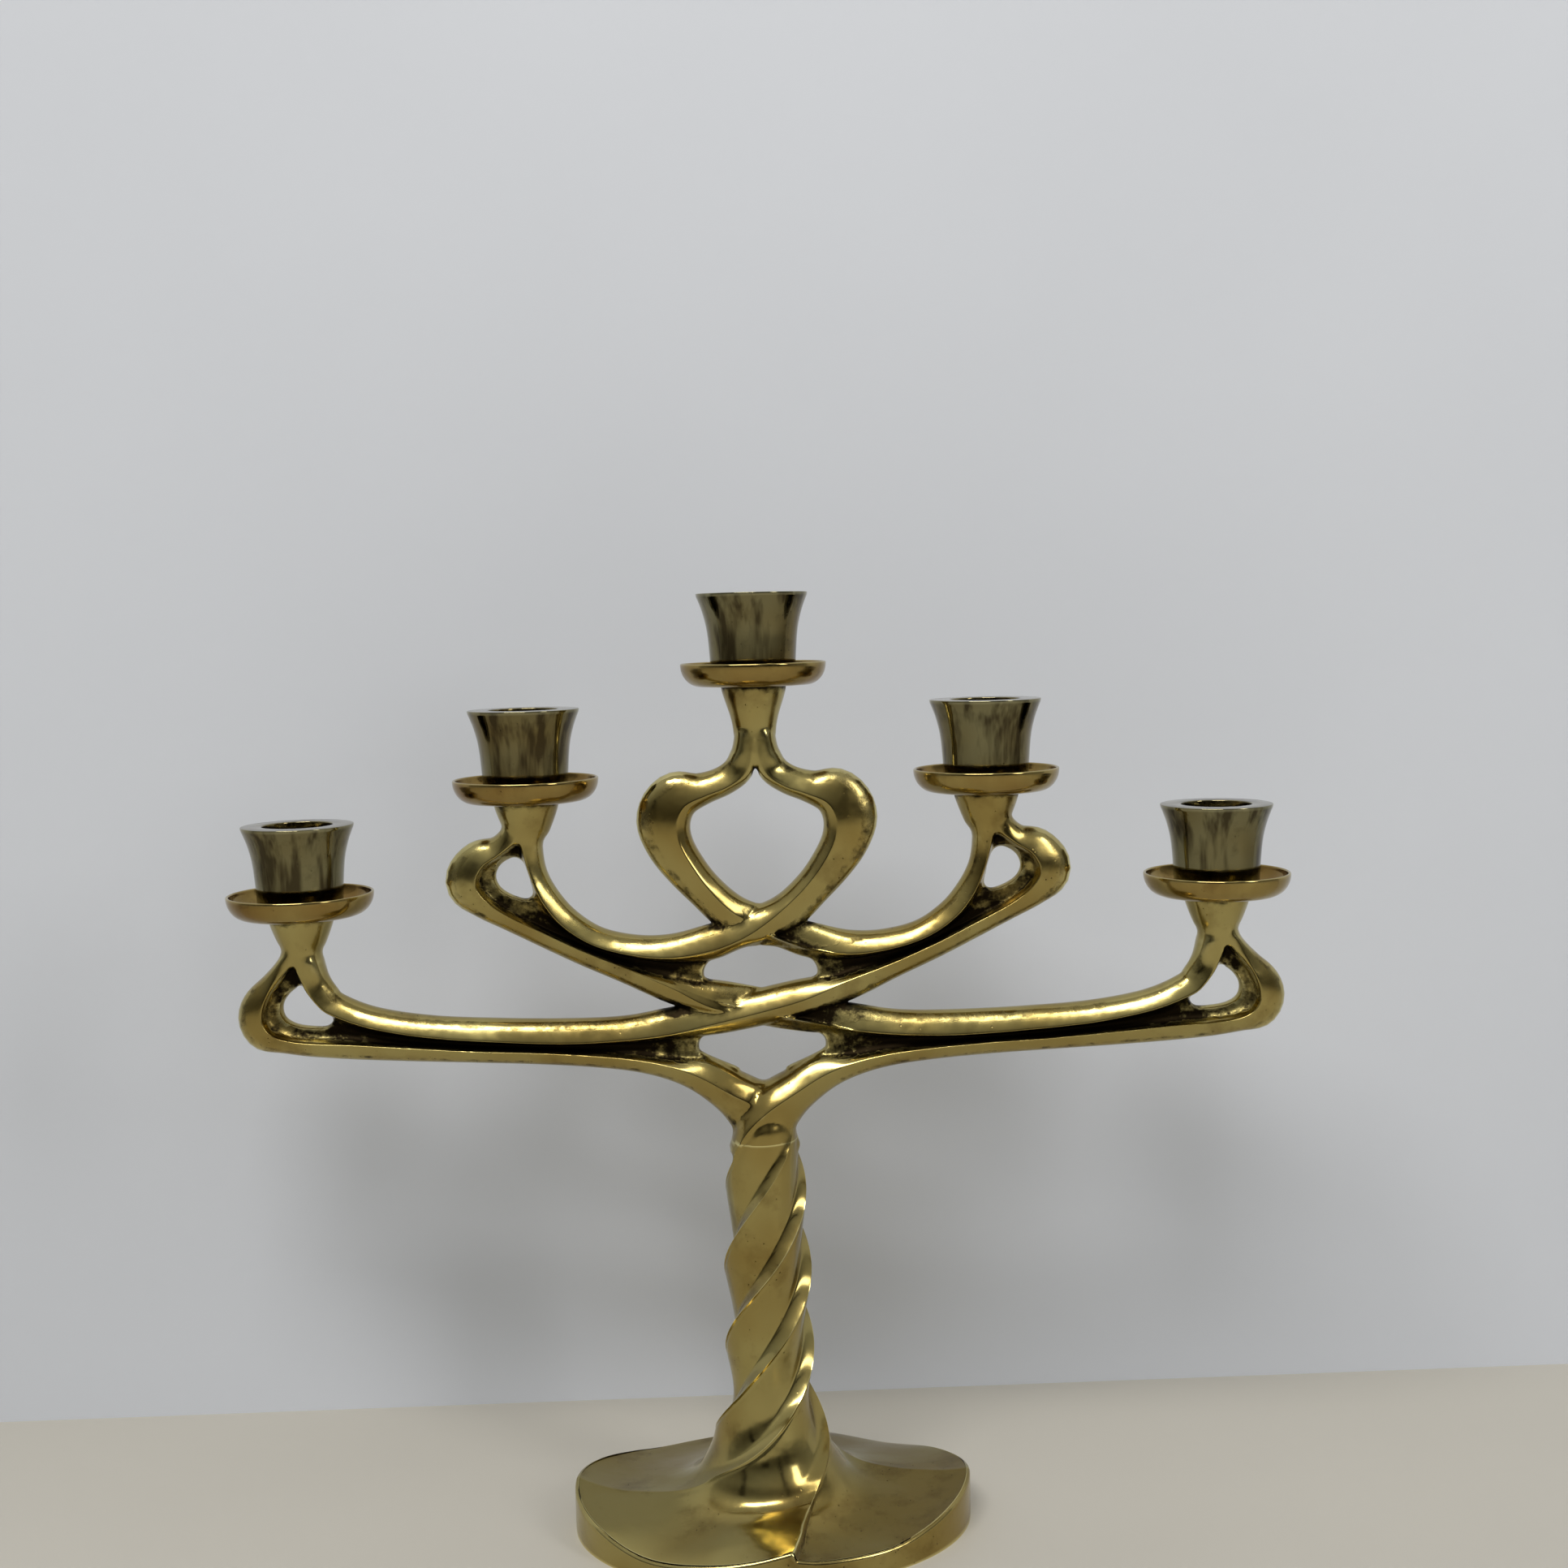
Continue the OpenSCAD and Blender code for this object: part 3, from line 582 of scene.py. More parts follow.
def block(bottom, top):
    """A block wider than the foot between two heights."""
    corners = [(-90, -90), (90, -90), (90, 90), (-90, 90)]
    return mesh_object("block", *tube([np.array([(x, y, z) for x, y in corners]) for z in (bottom, top)]))


def bore_rings():
    """The bore for the tie rod, wider at its top for the spigot."""
    shelf = STEM_TOP - SPIGOT_H
    return [round_ring(ROD_HOLE_R, SEAT_Z - 2), round_ring(ROD_HOLE_R, shelf),
            round_ring(SPIGOT_HOLE_R, shelf), round_ring(SPIGOT_HOLE_R, STEM_TOP + 1)]


# Fillets of the casting. Each fillet holds its reach in millimetres and how often it is smoothed.

NECK_FILLET, THROAT_FILLET, CREASE_FILLET = (2.6, 24), (2.2, 20), (1.2, 10)
MIDDLE_DROP, SIDE_DROP, NECK_FILLET_SPAN = 21, 14, 9
THROAT_LEVELS, THROAT_HALF = (118, 146), 16
CREASE_DEG = 22


def soften_creases(piece, reach, passes, wanted):
    """Rounds the inside corners of a casting where they are wanted, within a reach in millimetres."""
    form = bmesh.new()
    form.from_mesh(piece.data)
    bmesh.ops.triangulate(form, faces=form.faces)
    tree, count = crease_tree(form, wanted)
    if count:
        for _ in range(2):
            long_edges = [edge for edge in form.edges if edge.calc_length() > reach * 0.6 * MM
                          and tree.find(edge.verts[0].co)[2] < reach * MM
                          and tree.find(edge.verts[1].co)[2] < reach * MM]
            bmesh.ops.subdivide_edges(form, edges=long_edges, cuts=1)
            bmesh.ops.triangulate(form, faces=form.faces)
        smooth_near(form, tree, reach, passes)
    form.to_mesh(piece.data)
    form.free()


def crease_tree(form, wanted):
    """A search tree of points along the inside corners."""
    points = []
    for edge in form.edges:
        if len(edge.link_faces) == 2 and edge.calc_face_angle_signed() < -math.radians(CREASE_DEG):
            a, b = edge.verts[0].co, edge.verts[1].co
            if wanted(a):
                points += [a.copy(), b.copy(), (a + b) / 2]
    tree = KDTree(max(1, len(points)))
    for i, point in enumerate(points):
        tree.insert(point, i)
    tree.balance()
    return tree, len(points)


def smooth_near(form, tree, reach, passes):
    form.verts.ensure_lookup_table()
    places = np.array([v.co for v in form.verts])
    edges = np.array([[v.index for v in edge.verts] for edge in form.edges])
    weight = np.array([max(0.0, 1 - tree.find(v.co)[2] / (reach * MM)) for v in form.verts])
    weight[np.abs(places[:, 2] - STEM_TOP * MM) < 0.02 * MM] = 0.0
    weight = np.clip(weight * 1.6, 0, 1)[:, None] * 0.5
    count = np.zeros(len(places))
    np.add.at(count, edges.ravel(), 1)
    for _ in range(passes):
        total = np.zeros_like(places)
        np.add.at(total, edges[:, 0], places[edges[:, 1]])
        np.add.at(total, edges[:, 1], places[edges[:, 0]])
        places += weight * (total / count[:, None] - places)
    for vertex, place in zip(form.verts, places):
        vertex.co = place


# Foot and stem, in millimetres. Each row holds the level, the reach from the root out to the rim,
# how closely it follows the rim, the swelling beside the fold, the turn in degrees, the radius
# of the grooves, the rise of the lips, how much of it every second lip has, and where that lip lies.

STEM = [
    (9.9, 1.00, 1.00, 0.0, 0, 20.0, 0.35, 0.0, 98.5), (9.6, 0.93, 0.80, 0.7, 1, 20.0, 0.5, 0.0, 98.5),
    (9.35, 0.80, 0.58, 1.7, 3, 20.0, 0.6, 0.0, 98.5), (9.5, 0.64, 0.40, 2.4, 6, 20.0, 0.7, 0.1, 98.5),
    (10.2, 0.48, 0.27, 2.4, 9, 20.0, 0.8, 0.2, 98.5), (11.4, 0.32, 0.17, 1.9, 14, 20.0, 0.9, 0.35, 98.5),
    (13.3, 0.20, 0.09, 1.2, 20, 20.0, 1.0, 0.5, 98.5), (16.1, 0.11, 0.04, 0.5, 28, 20.0, 1.2, 0.75, 98.0),
    (19.8, 0.035, 0.0, 0.1, 38, 20.4, 1.5, 0.9, 97.0), (24.8, 0, 0, 0, 61, 18.4, 2.1, 1, 95.0),
    (29.9, 0, 0, 0, 82, 15.9, 2.7, 1, 93.0), (35.0, 0, 0, 0, 101, 13.7, 3.1, 1, 91.5),
    (40.0, 0, 0, 0, 119, 12.1, 3.3, 1, 90.5), (46.0, 0, 0, 0, 140, 11.2, 3.4, 1, 90.0),
    (59.8, 0, 0, 0, 187, 10.9, 3.6, 1, 90.0), (72.7, 0, 0, 0, 230, 10.8, 3.6, 1, 90.0),
    (84.9, 0, 0, 0, 272, 10.7, 3.5, 1, 90.0), (97.8, 0, 0, 0, 314, 10.6, 3.1, 1, 90.0),
    (110.8, 0, 0, 0, 356, 10.5, 2.6, 0.95, 90.0), (119.7, 0, 0, 0, 387, 10.3, 1.9, 0.75, 90.0),
    (127.0, 0, 0, 0, 412, 10.2, 1.2, 0.4, 90.0), (132.0, 0, 0, 0, 430, 9.7, 0.8, 0.1, 90.0),
    (137.0, 0, 0, 0, 447, 7.6, 0.4, 0.0, 90.0), (141.6, 0, 0, 0, 462, 5.0, 0.2, 0.0, 90.0),
    (145.2, 0, 0, 0, 474, 3.0, 0.1, 0.0, 90.0),
]
LIP_DEG = 98.5
GROOVE_AT = 0.78
FALL_POWER, CLIMB_POWER = 1.4, 1.8
STRIP_DEG, STRIP_SHARE = 6.5, 0.22 / 3.5
FOOT_SPREAD = 36.0
RIM = [(0, 15), (11, 13), (24, 10.4), (44, 6.2), (64, 6.9), (81, 8.7), (97.4, 11.6),
       (98.6, 9.0), (110, 7.7), (134, 7.6), (148, 9.7), (160, 12.2), (171, 14.1), (180, 15)]
RIM_BREAK = 7
FOOT_RX, FOOT_RY = 64.5, 48.0
FOOT_LEAN = 0.02
RIM_MEAN = 9.9
ROOT_R = 20.0
FOLD_DEG = 98
EDGE_ROUND = 1.2
FOOT_WALL = 3.6
SEAT_Z = 11.6
SEAT_R = 13.0
ROD_HOLE_R = 3.3
SPIGOT_HOLE_R = 6.03
SPIGOT_H = 8.0


def around_degrees():
    """Places round a ring, closer together at the lips and folds."""
    half = [0, 0.5, 1.0, 1.7] + list(np.arange(3.2, 96.5, 1.6)) + [97.0, 97.6, 98.1, 98.5, 98.9, 99.4, 100.0]
    half += list(np.arange(101.4, 178, 1.6)) + [178.4, 179.2]
    return np.array(half + [a + 180 for a in half])


def ease(t):
    t = np.clip(t, 0, 1)
    return t * t * (3 - 2 * t)


def rim_height(degrees):
    """Height of the rim round half the foot: it falls from one tip, steps at the fold and climbs to the other."""
    a = np.mod(degrees, 180)
    leaf = smooth_rows(RIM[:RIM_BREAK], 12)
    back = smooth_rows(RIM[RIM_BREAK:], 12)
    line = np.concatenate([leaf, back])
    return np.interp(a, line[:, 0], line[:, 1])


def swelling(degrees):
    a = np.mod(degrees, 180)
    return ease((a - 18) / 62) * (1 - ease((a - FOLD_DEG + 0.5) / 1.5))


def foot_reach(degrees):
    a = np.radians(degrees)
    return (1 + FOOT_LEAN * np.sin(2 * a)) / np.sqrt((np.cos(a) / FOOT_RX) ** 2 + (np.sin(a) / FOOT_RY) ** 2)


def lip_rise(second):
    """Share of the lips' rise round a ring: a narrow strip on each lip's right, a long fall to the
    groove, and a steep climb to the next lip."""
    place = np.mod(AROUND, 180)
    past = place >= LIP_DEG
    t = np.where(past, (place - LIP_DEG) / (180 - LIP_DEG), place / LIP_DEG)
    here, ahead = np.where(past, second, 1.0), np.where(past, 1.0, second)
    fall = np.clip(1 - t / GROOVE_AT, 0, None) ** FALL_POWER
    climb = (np.clip(t - GROOVE_AT, 0, None) / (1 - GROOVE_AT)) ** CLIMB_POWER
    strip = np.exp(-(((t * 90 - STRIP_DEG / 2) / (STRIP_DEG / 3)) ** 2))
    return here * (fall - strip * STRIP_SHARE) + ahead * climb


def steepness(rows):
    """Which way the surface faces, outwards and upwards, at each row of the foot and stem."""
    outline = np.stack([rows[:, 5] + FOOT_SPREAD * rows[:, 1], rows[:, 0]], axis=1)
    run = np.gradient(outline, axis=0)
    run /= np.linalg.norm(run, axis=1)[:, None]
    return np.stack([run[:, 1], -run[:, 0]], axis=1)


def stem_ring(row, facing=(1.0, 0.0), inset=0.0, sink=0.0):
    level, reach, follow, swell, turn, groove, lip, second, second_at = row
    place = np.mod(AROUND, 180)
    direction = np.interp(place, (0, LIP_DEG, 180), (0, second_at, 180)) + (AROUND - place) + turn
    rise = lip * lip_rise(second)
    radius = groove + (foot_reach(direction) - ROOT_R) * reach + rise * facing[0] - inset
    z = level + follow * (rim_height(AROUND) - RIM_MEAN) + swell * swelling(AROUND) + rise * facing[1] - sink
    a = np.radians(direction)
    return np.stack([radius * np.cos(a), radius * np.sin(a), z], axis=1)


def flat(ring, z):
    level = ring.copy()
    level[:, 2] = z
    return level


def round_ring(radius, z):
    a = np.radians(AROUND)
    return np.stack([radius * np.cos(a), radius * np.sin(a), np.full(len(a), z)], axis=1)


def foot_and_stem():
    """Hollow foot and twisted stem in one tube, from the seat under the foot to the throat of the branches."""
    rows = smooth_rows(STEM, 9)
    facing = steepness(rows)
    plain = np.array(STEM[0], float)
    plain[6] = 0.0
    edge = stem_ring(plain)
    inside = smooth_rows(STEM[:7], 3)[2:-3]
    inside[:, 6] = 0.0
    rings = [round_ring(SEAT_R, SEAT_Z)]
    rings += [stem_ring(row, (1, 0), FOOT_WALL, FOOT_WALL) for row in reversed(inside)]
    rings += [stem_ring(plain, (1, 0), FOOT_WALL, FOOT_WALL + EDGE_ROUND),
              flat(stem_ring(plain, (1, 0), FOOT_WALL), 0.0)]
    rings += [edge * (1, 1, k / 8) - (0, 0, EDGE_ROUND * k / 8) for k in range(9)]
    for k in range(1, 6):
        lean = math.radians(18 * k)
        rings.append(stem_ring(plain, (1, 0), EDGE_ROUND * (1 - math.cos(lean)), EDGE_ROUND * (1 - math.sin(lean))))
    rings += [stem_ring(row, face) for row, face in zip(rows[4:], facing[4:])]
    return tube(rings)


# Turned pieces. Each profile runs from radius to height, in millimetres.

NOZZLE_R, NOZZLE_RIM_R, NOZZLE_H = 13.3, 17.6, 27.5
SOCKET_R, SOCKET_DEPTH = 11.0, 19.0
STUD_HOLE_R, STUD_HOLE_H = 2.55, 6.05
NOZZLE_SHARES = [(0, 0), (0.2, 0.05), (0.4, 0.13), (0.55, 0.22), (0.67, 0.35), (0.8, 0.57), (0.9, 0.8), (0.965, 0.97)]
PAN_R, PAN_H, PAN_FLAT_R, PAN_WALL = 23.0, 7.3, 17.0, 1.6
PAN_HOLE_R, PAN_LIP = 2.8, 0.9
TURNED_SIDES = 128
SWEEP_R = 0.01


def arc(middle, size, first, last, steps):
    """Points of an elliptical arc between two directions in degrees."""
    a = np.radians(np.linspace(first, last, steps + 1))
    return [(middle[0] + size[0] * math.cos(t), middle[1] + size[1] * math.sin(t)) for t in a]


def nozzle_profile():
    grow = NOZZLE_RIM_R - NOZZLE_R
    wall = [(NOZZLE_R + share * grow, height * NOZZLE_H) for height, share in smooth_rows(NOZZLE_SHARES, 5)]
    soft = 0.22
    return ([(0, STUD_HOLE_H), (STUD_HOLE_R, STUD_HOLE_H), (STUD_HOLE_R, 0)]
            + arc((NOZZLE_R - 0.4, 0.4), (0.4, 0.4), -90, -10, 3) + wall[2:]
            + arc((NOZZLE_RIM_R - soft, NOZZLE_H - soft), (soft, soft), 0, 90, 4)
            + arc((SOCKET_R + 0.35, NOZZLE_H - 0.35), (0.35, 0.35), 90, 180, 4)
            + [(SOCKET_R, NOZZLE_H - SOCKET_DEPTH * 0.5), (SOCKET_R, NOZZLE_H - SOCKET_DEPTH + 0.6)]
            + arc((SOCKET_R - 0.6, NOZZLE_H - SOCKET_DEPTH + 0.6), (0.6, 0.6), 0, -90, 4)
            + [(0, NOZZLE_H - SOCKET_DEPTH)])


def pan_profile():
    bowl = PAN_R - PAN_FLAT_R
    top = PAN_H - PAN_LIP / 2
    return ([(PAN_HOLE_R, PAN_WALL), (PAN_HOLE_R, 0)]
            + arc((PAN_FLAT_R, top), (bowl, top), -90, 0, 14)
            + arc((PAN_R - PAN_LIP / 2, top), (PAN_LIP / 2, PAN_LIP / 2), 0, 180, 8)[1:]
            + arc((PAN_FLAT_R - 1, top), (bowl + 1 - PAN_LIP, top - PAN_WALL), 0, -90, 12)[1:])


def turned_tree():
    """Geometry nodes that turn a profile about the upright axis and stand it on a seat."""
    tree = bpy.data.node_groups.new("turned_piece", "GeometryNodeTree")
    face = tree.interface
    face.new_socket("Profile", in_out="INPUT", socket_type="NodeSocketGeometry")
    face.new_socket("Sides", in_out="INPUT", socket_type="NodeSocketInt")
    face.new_socket("Sweep Radius", in_out="INPUT", socket_type="NodeSocketFloat")
    face.new_socket("Seat", in_out="INPUT", socket_type="NodeSocketVector")
    face.new_socket("Material", in_out="INPUT", socket_type="NodeSocketMaterial")
    face.new_socket("Geometry", in_out="OUTPUT", socket_type="NodeSocketGeometry")
    n = Nodes(tree)
    given = n.add("NodeGroupInput").outputs
    inward = n.add("ShaderNodeVectorMath", {"operation": "SCALE"}, Scale=given["Sweep Radius"])
    inward.inputs[0].default_value = (-1, 0, 0)
    laid = n.add("GeometryNodeTransform", Geometry=given["Profile"], Translation=inward.outputs[0], Scale=(1, -1, 1))
    line = n.add("GeometryNodeMeshToCurve", Mesh=laid.outputs[0])
    circle = n.add("GeometryNodeCurvePrimitiveCircle", Resolution=given["Sides"], Radius=given["Sweep Radius"])
    swept = n.add("GeometryNodeCurveToMesh", Curve=circle.outputs[0], Profile_Curve=line.outputs[0])
    merged = n.add("GeometryNodeMergeByDistance", Geometry=swept.outputs[0], Distance=2e-6)
    seated = n.add("GeometryNodeTransform", Geometry=merged.outputs[0], Translation=given["Seat"])
    real = n.add("GeometryNodeRealizeInstances", Geometry=seated.outputs[0])
    painted = n.add("GeometryNodeSetMaterial", Geometry=real.outputs[0], Material=given["Material"])
    out = n.add("NodeGroupOutput")
    tree.links.new(painted.outputs[0], out.inputs[0])
    return tree


def turned_piece(name, profile, closed, seat, material, tree):
    points = [(r * MM, z * MM, 0) for r, z in profile]
    edges = [(i, i + 1) for i in range(len(points) - 1)] + ([(len(points) - 1, 0)] if closed else [])
    mesh = bpy.data.meshes.new(name)
    mesh.from_pydata(points, edges, [])
    piece = bpy.data.objects.new(name, mesh)
    turning = piece.modifiers.new("turning", "NODES")
    turning.node_group = tree
    sockets = {item.name: item.identifier for item in tree.interface.items_tree if item.in_out == "INPUT"}
    turning[sockets["Sides"]] = TURNED_SIDES
    turning[sockets["Sweep Radius"]] = SWEEP_R
    turning[sockets["Seat"]] = tuple(seat * MM)
    turning[sockets["Material"]] = material
    bpy.context.scene.collection.objects.link(piece)
    settle(piece)
    face_outwards(piece)
    return piece


# Hollows, where polish doesn't reach and patina stays, and where shade falls: the mark below paints both into the
# colour

HOLLOW_RAYS = 28
HOLLOW_REACH_MM = 14
# Extra darkening on channel floors, as patina together with painted shade.
CHANNEL_DARKENING, CHANNEL_LEVEL_MM, CHANNEL_FACING = 0.2, 4.6, 0.55
RIDGE_BEND = (0.05, 0.2)


def ray_fan():
    """Evenly spread directions over a half sphere, denser towards its pole."""
    fan = []
    for i in range(HOLLOW_RAYS):
        up = math.sqrt(1 - (i + 0.5) / HOLLOW_RAYS)
        turn = i * math.pi * (3 - math.sqrt(5))
        flat_part = math.sqrt(1 - up * up)
        fan.append(Vector((flat_part * math.cos(turn), flat_part * math.sin(turn), up)))
    return fan


def mark_hollows(pieces):
    """Stores on each vertex how much of its outlook is closed off by metal nearby."""
    vertices, triangles, start = [], [], 0
    for piece in pieces:
        piece.data.calc_loop_triangles()
        vertices += [v.co.copy() for v in piece.data.vertices]
        triangles += [tuple(start + i for i in t.vertices) for t in piece.data.loop_triangles]
        start += len(piece.data.vertices)
    tree = BVHTree.FromPolygons(vertices, triangles)
    fan = ray_fan()
    for piece in pieces:
        values = []
        for vertex in piece.data.vertices:
            turn = vertex.normal.to_track_quat("Z", "Y")
            origin = vertex.co + vertex.normal * 0.05 * MM
            closed = 0.0
            for ray in fan:
                distance = tree.ray_cast(origin, turn @ ray, HOLLOW_REACH_MM * MM)[3]
                if distance is not None:
                    closed += 1 - distance / (HOLLOW_REACH_MM * MM)
            # The closed-off share darkens the colour later: patina in the hollows, and painted shade where the metal
            # around shuts out light.
            values.append(closed / HOLLOW_RAYS + CHANNEL_DARKENING * in_channel(piece, vertex))
        mark = piece.data.attributes.new("hollow", "FLOAT", "POINT")
        mark.data.foreach_set("value", values)


def in_channel(piece, vertex):
    """Whether a point lies on the floor of a channel between two strands."""
    facing = abs(vertex.normal.y) > CHANNEL_FACING
    return piece.name == "cast_branches" and facing and abs(vertex.co.y) < CHANNEL_LEVEL_MM * MM


def mark_ridges(piece):
    """Stores on each vertex how sharply the surface bends outwards there, where hands keep it bright and where the
    material paints a highlight.
    """
    mesh = piece.data
    count = len(mesh.vertices)
    places, normals = np.empty(count * 3), np.empty(count * 3)
    mesh.vertices.foreach_get("co", places)
    mesh.vertices.foreach_get("normal", normals)
    places, normals = places.reshape(-1, 3), normals.reshape(-1, 3)
    edges = np.empty(len(mesh.edges) * 2, int)
    mesh.edges.foreach_get("vertices", edges)
    a, b = edges.reshape(-1, 2).T
    run = places[b] - places[a]
    run /= np.maximum(np.linalg.norm(run, axis=1), 1e-9)[:, None]
    bend = np.bincount(a, -(normals[a] * run).sum(axis=1), count)
    bend += np.bincount(b, (normals[b] * run).sum(axis=1), count)
    bend /= np.maximum(np.bincount(a, minlength=count) + np.bincount(b, minlength=count), 1)
    mark = mesh.attributes.new("ridge", "FLOAT", "POINT")
    mark.data.foreach_set("value", np.clip((bend - RIDGE_BEND[0]) / (RIDGE_BEND[1] - RIDGE_BEND[0]), 0, 1))


# Finishes

def aged_metal_group():
    """Colour, roughness and height of hand-polished metal: its hollows darkened as patina and painted shade, and its
    ridges lightened as rubbed wear and a painted highlight.
    """
    tree = bpy.data.node_groups.new("aged_metal", "ShaderNodeTree")
    face = tree.interface
    for name in ("Polished", "Warm", "Stained", "Patina And Shade", "Rubbed Highlight"):
        face.new_socket(name, in_out="INPUT", socket_type="NodeSocketColor")
    for name in ("Hollow", "Hollow Start", "Hollow End", "Ridge", "Streaks", "Scale", "Smoothest", "Dullest"):
        face.new_socket(name, in_out="INPUT", socket_type="NodeSocketFloat")
    face.new_socket("Color", in_out="OUTPUT", socket_type="NodeSocketColor")
    face.new_socket("Roughness", in_out="OUTPUT", socket_type="NodeSocketFloat")
    face.new_socket("Height", in_out="OUTPUT", socket_type="NodeSocketFloat")
    n = Nodes(tree)
    given = n.add("NodeGroupInput").outputs
    coords = n.add("ShaderNodeTexCoord").outputs["Object"]
    place = n.add("ShaderNodeVectorMath", {"operation": "SCALE"}, Scale=given["Scale"])
    n.put(place.inputs[0], coords)
    place = place.outputs[0]
    tone = n.noise(place, 26, 2, 0.5)
    blotch = n.noise(place, 58, 5, 0.62)
    smudge = n.noise(place, 95, 4, 0.6)
    grain = n.noise(place, 620, 3, 0.6)
    pits = n.add("ShaderNodeTexVoronoi", Scale=420.0)
    n.put(pits.inputs["Vector"], place)
    pit = n.maths("MULTIPLY", n.ramp(pits.outputs["Distance"], 0.16, 0.05), n.ramp(blotch, 0.5, 0.6))
    colour = n.mix(n.ramp(tone, 0.38, 0.62), given["Polished"], given["Warm"])
    drawn = n.add("ShaderNodeVectorMath", {"operation": "MULTIPLY"})
    n.put(drawn.inputs[0], place)
    drawn.inputs[1].default_value = (1, 1, 0.14)
    streak = n.maths("MULTIPLY", n.ramp(n.noise(drawn.outputs[0], 150, 3, 0.6), 0.47, 0.62), given["Streaks"])
    stain = n.maths("MAXIMUM", n.ramp(blotch, 0.55, 0.72, 0.0, 0.55), streak)
    colour = n.mix(stain, colour, given["Stained"])
    ragged = n.maths("ADD", given["Hollow"], n.ramp(n.noise(place, 210, 4, 0.65), 0.3, 0.7, -0.12, 0.12))
    deep = n.tree.nodes.new("ShaderNodeMapRange")
    deep.interpolation_type = "SMOOTHSTEP"
    n.put(deep.inputs["Value"], ragged)
    n.put(deep.inputs["From Min"], given["Hollow Start"])
    n.put(deep.inputs["From Max"], given["Hollow End"])
    deep = deep.outputs[0]
    dark = n.maths("MAXIMUM", deep, n.maths("MULTIPLY", pit, 0.7))
    # Painted shade: the patina colour darkens the hollows, standing for patina there and for the shade that falls in
    # them.
    colour = n.mix(dark, colour, given["Patina And Shade"])
    # Painted highlight: a paler colour on sharp outward bends, standing for edges rubbed bright and for the
    # highlights lamps put on them.
    rubbed_highlight = n.maths("MULTIPLY", given["Ridge"], n.maths("SUBTRACT", 1.0, n.maths("MULTIPLY", dark, 0.8)))
    colour = n.mix(rubbed_highlight, colour, given["Rubbed Highlight"])
    dull = n.ramp(smudge, 0.35, 0.75)
    rough = n.tree.nodes.new("ShaderNodeMapRange")
    n.put(rough.inputs["Value"], dull)
    n.put(rough.inputs["To Min"], given["Smoothest"])
    n.put(rough.inputs["To Max"], given["Dullest"])
    rough = n.maths("ADD", rough.outputs[0], n.maths("MULTIPLY", dark, 0.3))
    rough = n.maths("SUBTRACT", rough, n.maths("MULTIPLY", rubbed_highlight, 0.08))
    wave = n.noise(place, 110, 2, 0.5)
    height = n.maths("ADD", wave, n.maths("MULTIPLY", grain, n.maths("MULTIPLY", deep, 0.5)))
    height = n.maths("SUBTRACT", height, n.maths("MULTIPLY", pit, 0.25))
    out = n.add("NodeGroupOutput")
    tree.links.new(colour, out.inputs["Color"])
    tree.links.new(rough, out.inputs["Roughness"])
    tree.links.new(height, out.inputs["Height"])
    return tree


def metal(name, group, colours, hollow, streaks, scale, roughness, bump_mm):
    """A metal finish: polished, warm, stained, patina and rubbed colours over one surface; the patina colour also
    paints shade into hollows and the rubbed colour also paints a highlight onto ridges.
    """
    material = bpy.data.materials.new(name)
    material.use_nodes = True
    tree = material.node_tree
    tree.nodes.clear()
    n = Nodes(tree)
    aged = n.add("ShaderNodeGroup", {"node_tree": group})
    for socket, colour in zip(("Polished", "Warm", "Stained", "Patina And Shade", "Rubbed Highlight"), colours):
        aged.inputs[socket].default_value = rgb(*colour)
    aged.inputs["Hollow Start"].default_value, aged.inputs["Hollow End"].default_value = hollow
    aged.inputs["Smoothest"].default_value, aged.inputs["Dullest"].default_value = roughness
    aged.inputs["Scale"].default_value, aged.inputs["Streaks"].default_value = scale, streaks
    for socket in ("Hollow", "Ridge"):
        mark = n.add("ShaderNodeAttribute", {"attribute_name": socket.lower()})
        n.put(aged.inputs[socket], mark.outputs["Fac"])
    bump = n.add("ShaderNodeBump", Strength=1.0, Distance=bump_mm * MM, Height=aged.outputs["Height"])
    shader = n.add("ShaderNodeBsdfPrincipled", Metallic=1.0, Base_Color=aged.outputs["Color"],
                   Roughness=aged.outputs["Roughness"], Normal=bump.outputs["Normal"])
    out = n.add("ShaderNodeOutputMaterial")
    tree.links.new(shader.outputs[0], out.inputs["Surface"])
    return material


def finish_piece(piece, body, material, nodes, sharp_deg):
    piece.data.materials.clear()
    piece.data.materials.append(material)
    piece.data.polygons.foreach_set("use_smooth", [True] * len(piece.data.polygons))
    piece.data.set_sharp_from_angle(angle=math.radians(sharp_deg))
    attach(piece, body)
    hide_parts(*nodes)


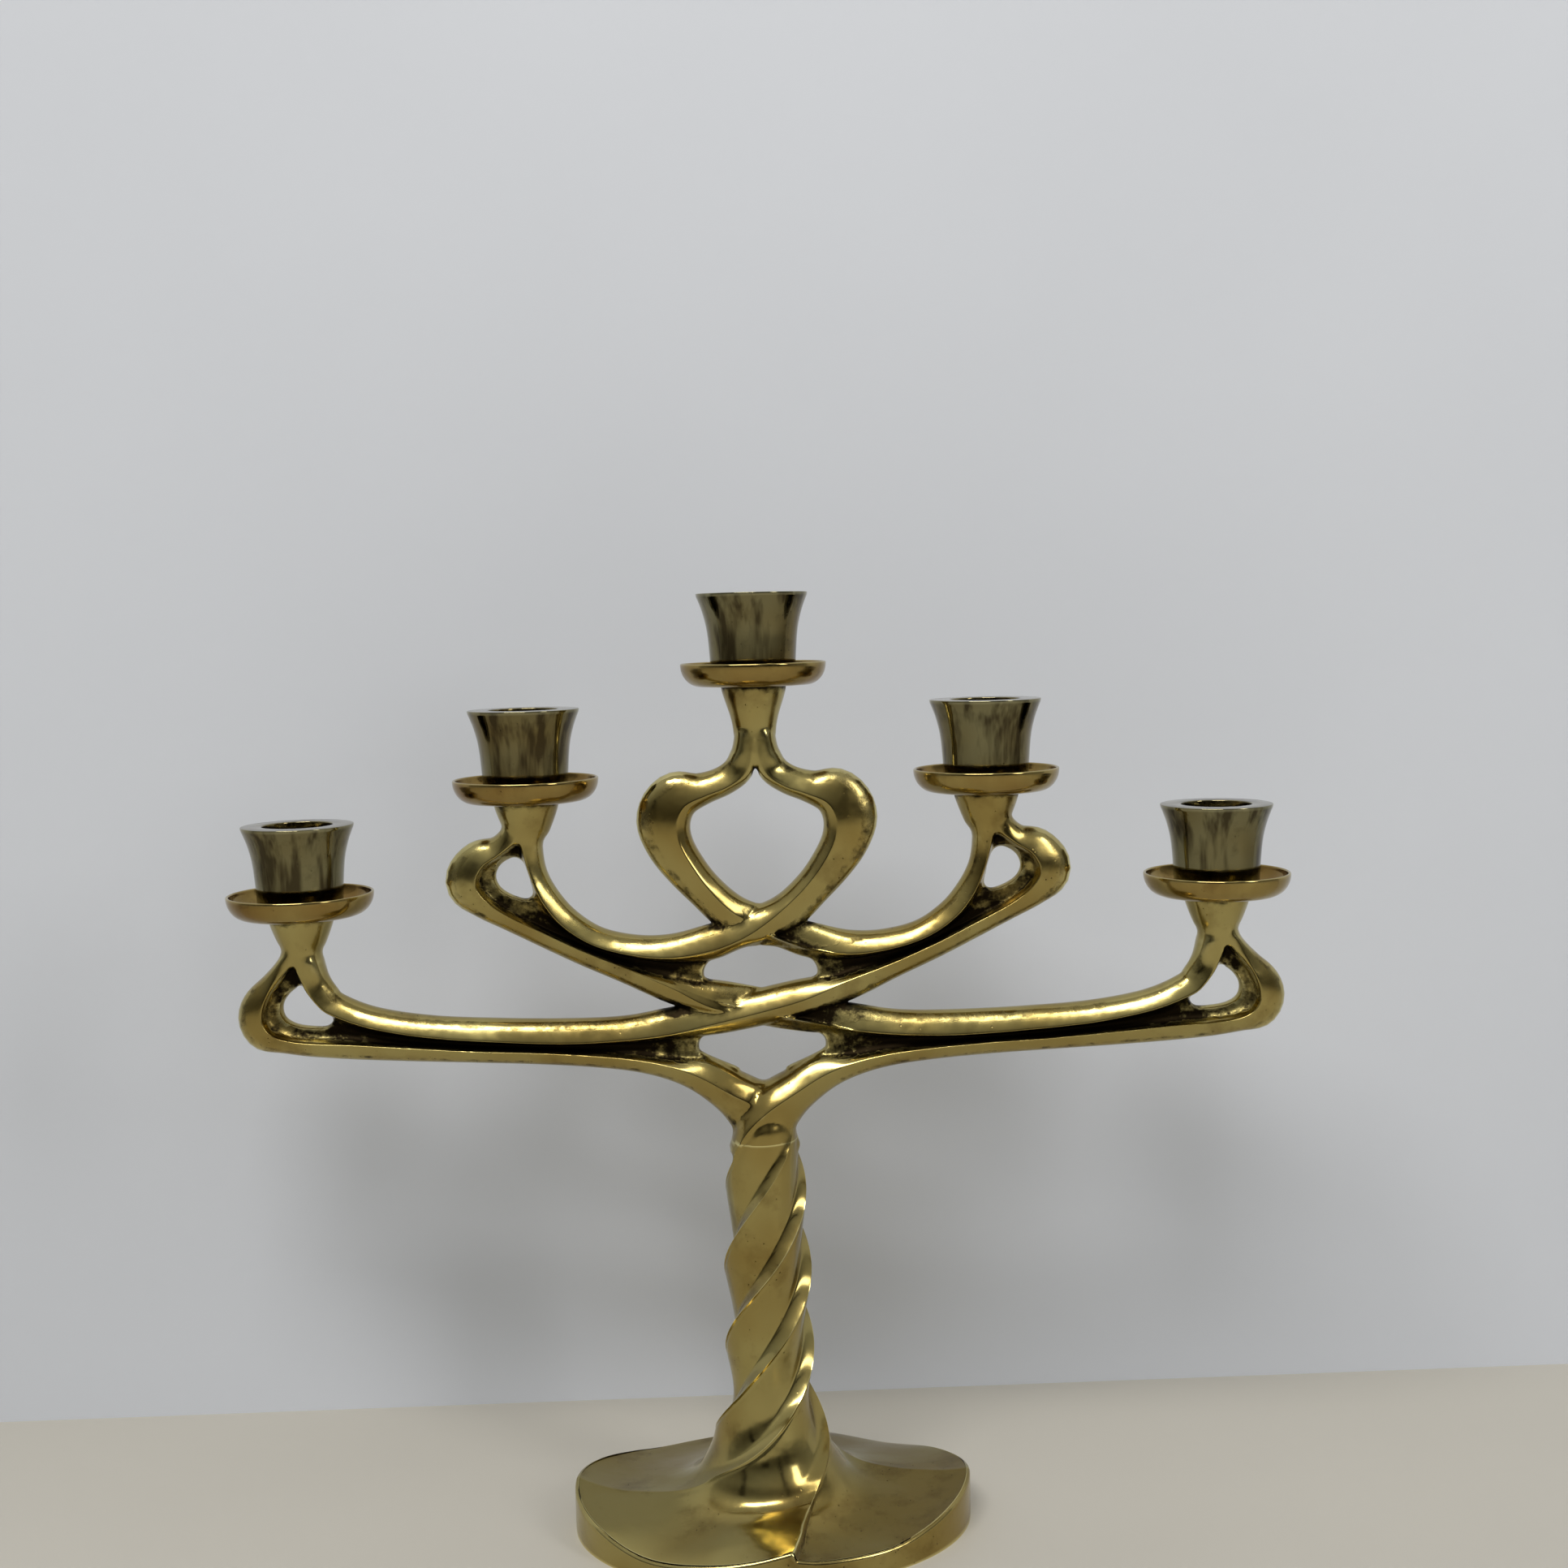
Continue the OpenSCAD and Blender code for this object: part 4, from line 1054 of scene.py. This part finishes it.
AROUND = around_degrees()
bpy.context.scene.view_settings.view_transform = "Standard"
make_camera()
make_stage()

aged_metal = aged_metal_group()
# Colours in order: polished, warm, stained, patina (also painted shade in hollows) and rubbed (also a painted
# highlight on ridges).
cast_brass = metal("cast_brass", aged_metal,
                   [(172, 158, 100), (156, 136, 78), (104, 82, 42), (26, 20, 11), (226, 214, 152)],
                   (0.14, 0.38), 0.0, 1.0, (0.13, 0.27), 0.16)
pan_brass = metal("pan_brass", aged_metal,
                  [(158, 138, 82), (136, 108, 58), (92, 66, 34), (36, 27, 15), (220, 204, 140)],
                  (0.3, 0.75), 0.1, 1.3, (0.1, 0.26), 0.06)
nozzle_brass = metal("nozzle_brass", aged_metal,
                     [(124, 118, 86), (112, 98, 60), (46, 36, 22), (18, 20, 13), (190, 186, 150)],
                     (0.4, 0.9), 0.8, 1.2, (0.07, 0.16), 0.05)
fixing_steel = metal("fixing_steel", aged_metal,
                     [(176, 177, 178), (150, 148, 142), (118, 96, 74), (52, 46, 40), (200, 200, 200)],
                     (0.5, 1.0), 0.0, 1.5, (0.25, 0.45), 0.05)

branches, foot = make_castings()

turning = turned_tree()
pans = {light: turned_piece("turned_pan_" + light, pan_profile(), True, SEATS[light], pan_brass, turning)
        for light in LIGHTS}
nozzles = {light: turned_piece("turned_nozzle_" + light, nozzle_profile(), False,
                               SEATS[light] + (0, 0, PAN_WALL), nozzle_brass, turning) for light in LIGHTS}
dressed = [branches, foot] + list(pans.values()) + list(nozzles.values())
mark_hollows(dressed)
for piece in dressed:
    mark_ridges(piece)

finish_piece(branches, "frame", cast_brass, ["branches"], 38)
finish_piece(foot, "frame", cast_brass, ["foot_stem"], 30)
for light in LIGHTS:
    finish_piece(pans[light], "pan_" + light, pan_brass, ["drip_pan_" + light], 35)
    finish_piece(nozzles[light], "nozzle_" + light, nozzle_brass, ["candle_nozzle_" + light], 35)
replaced = {"branches", "foot_stem"}
replaced |= {"drip_pan_" + light for light in LIGHTS} | {"candle_nozzle_" + light for light in LIGHTS}
for name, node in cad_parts.items():
    if name not in replaced:
        node.data.materials.clear()
        node.data.materials.append(fixing_steel)
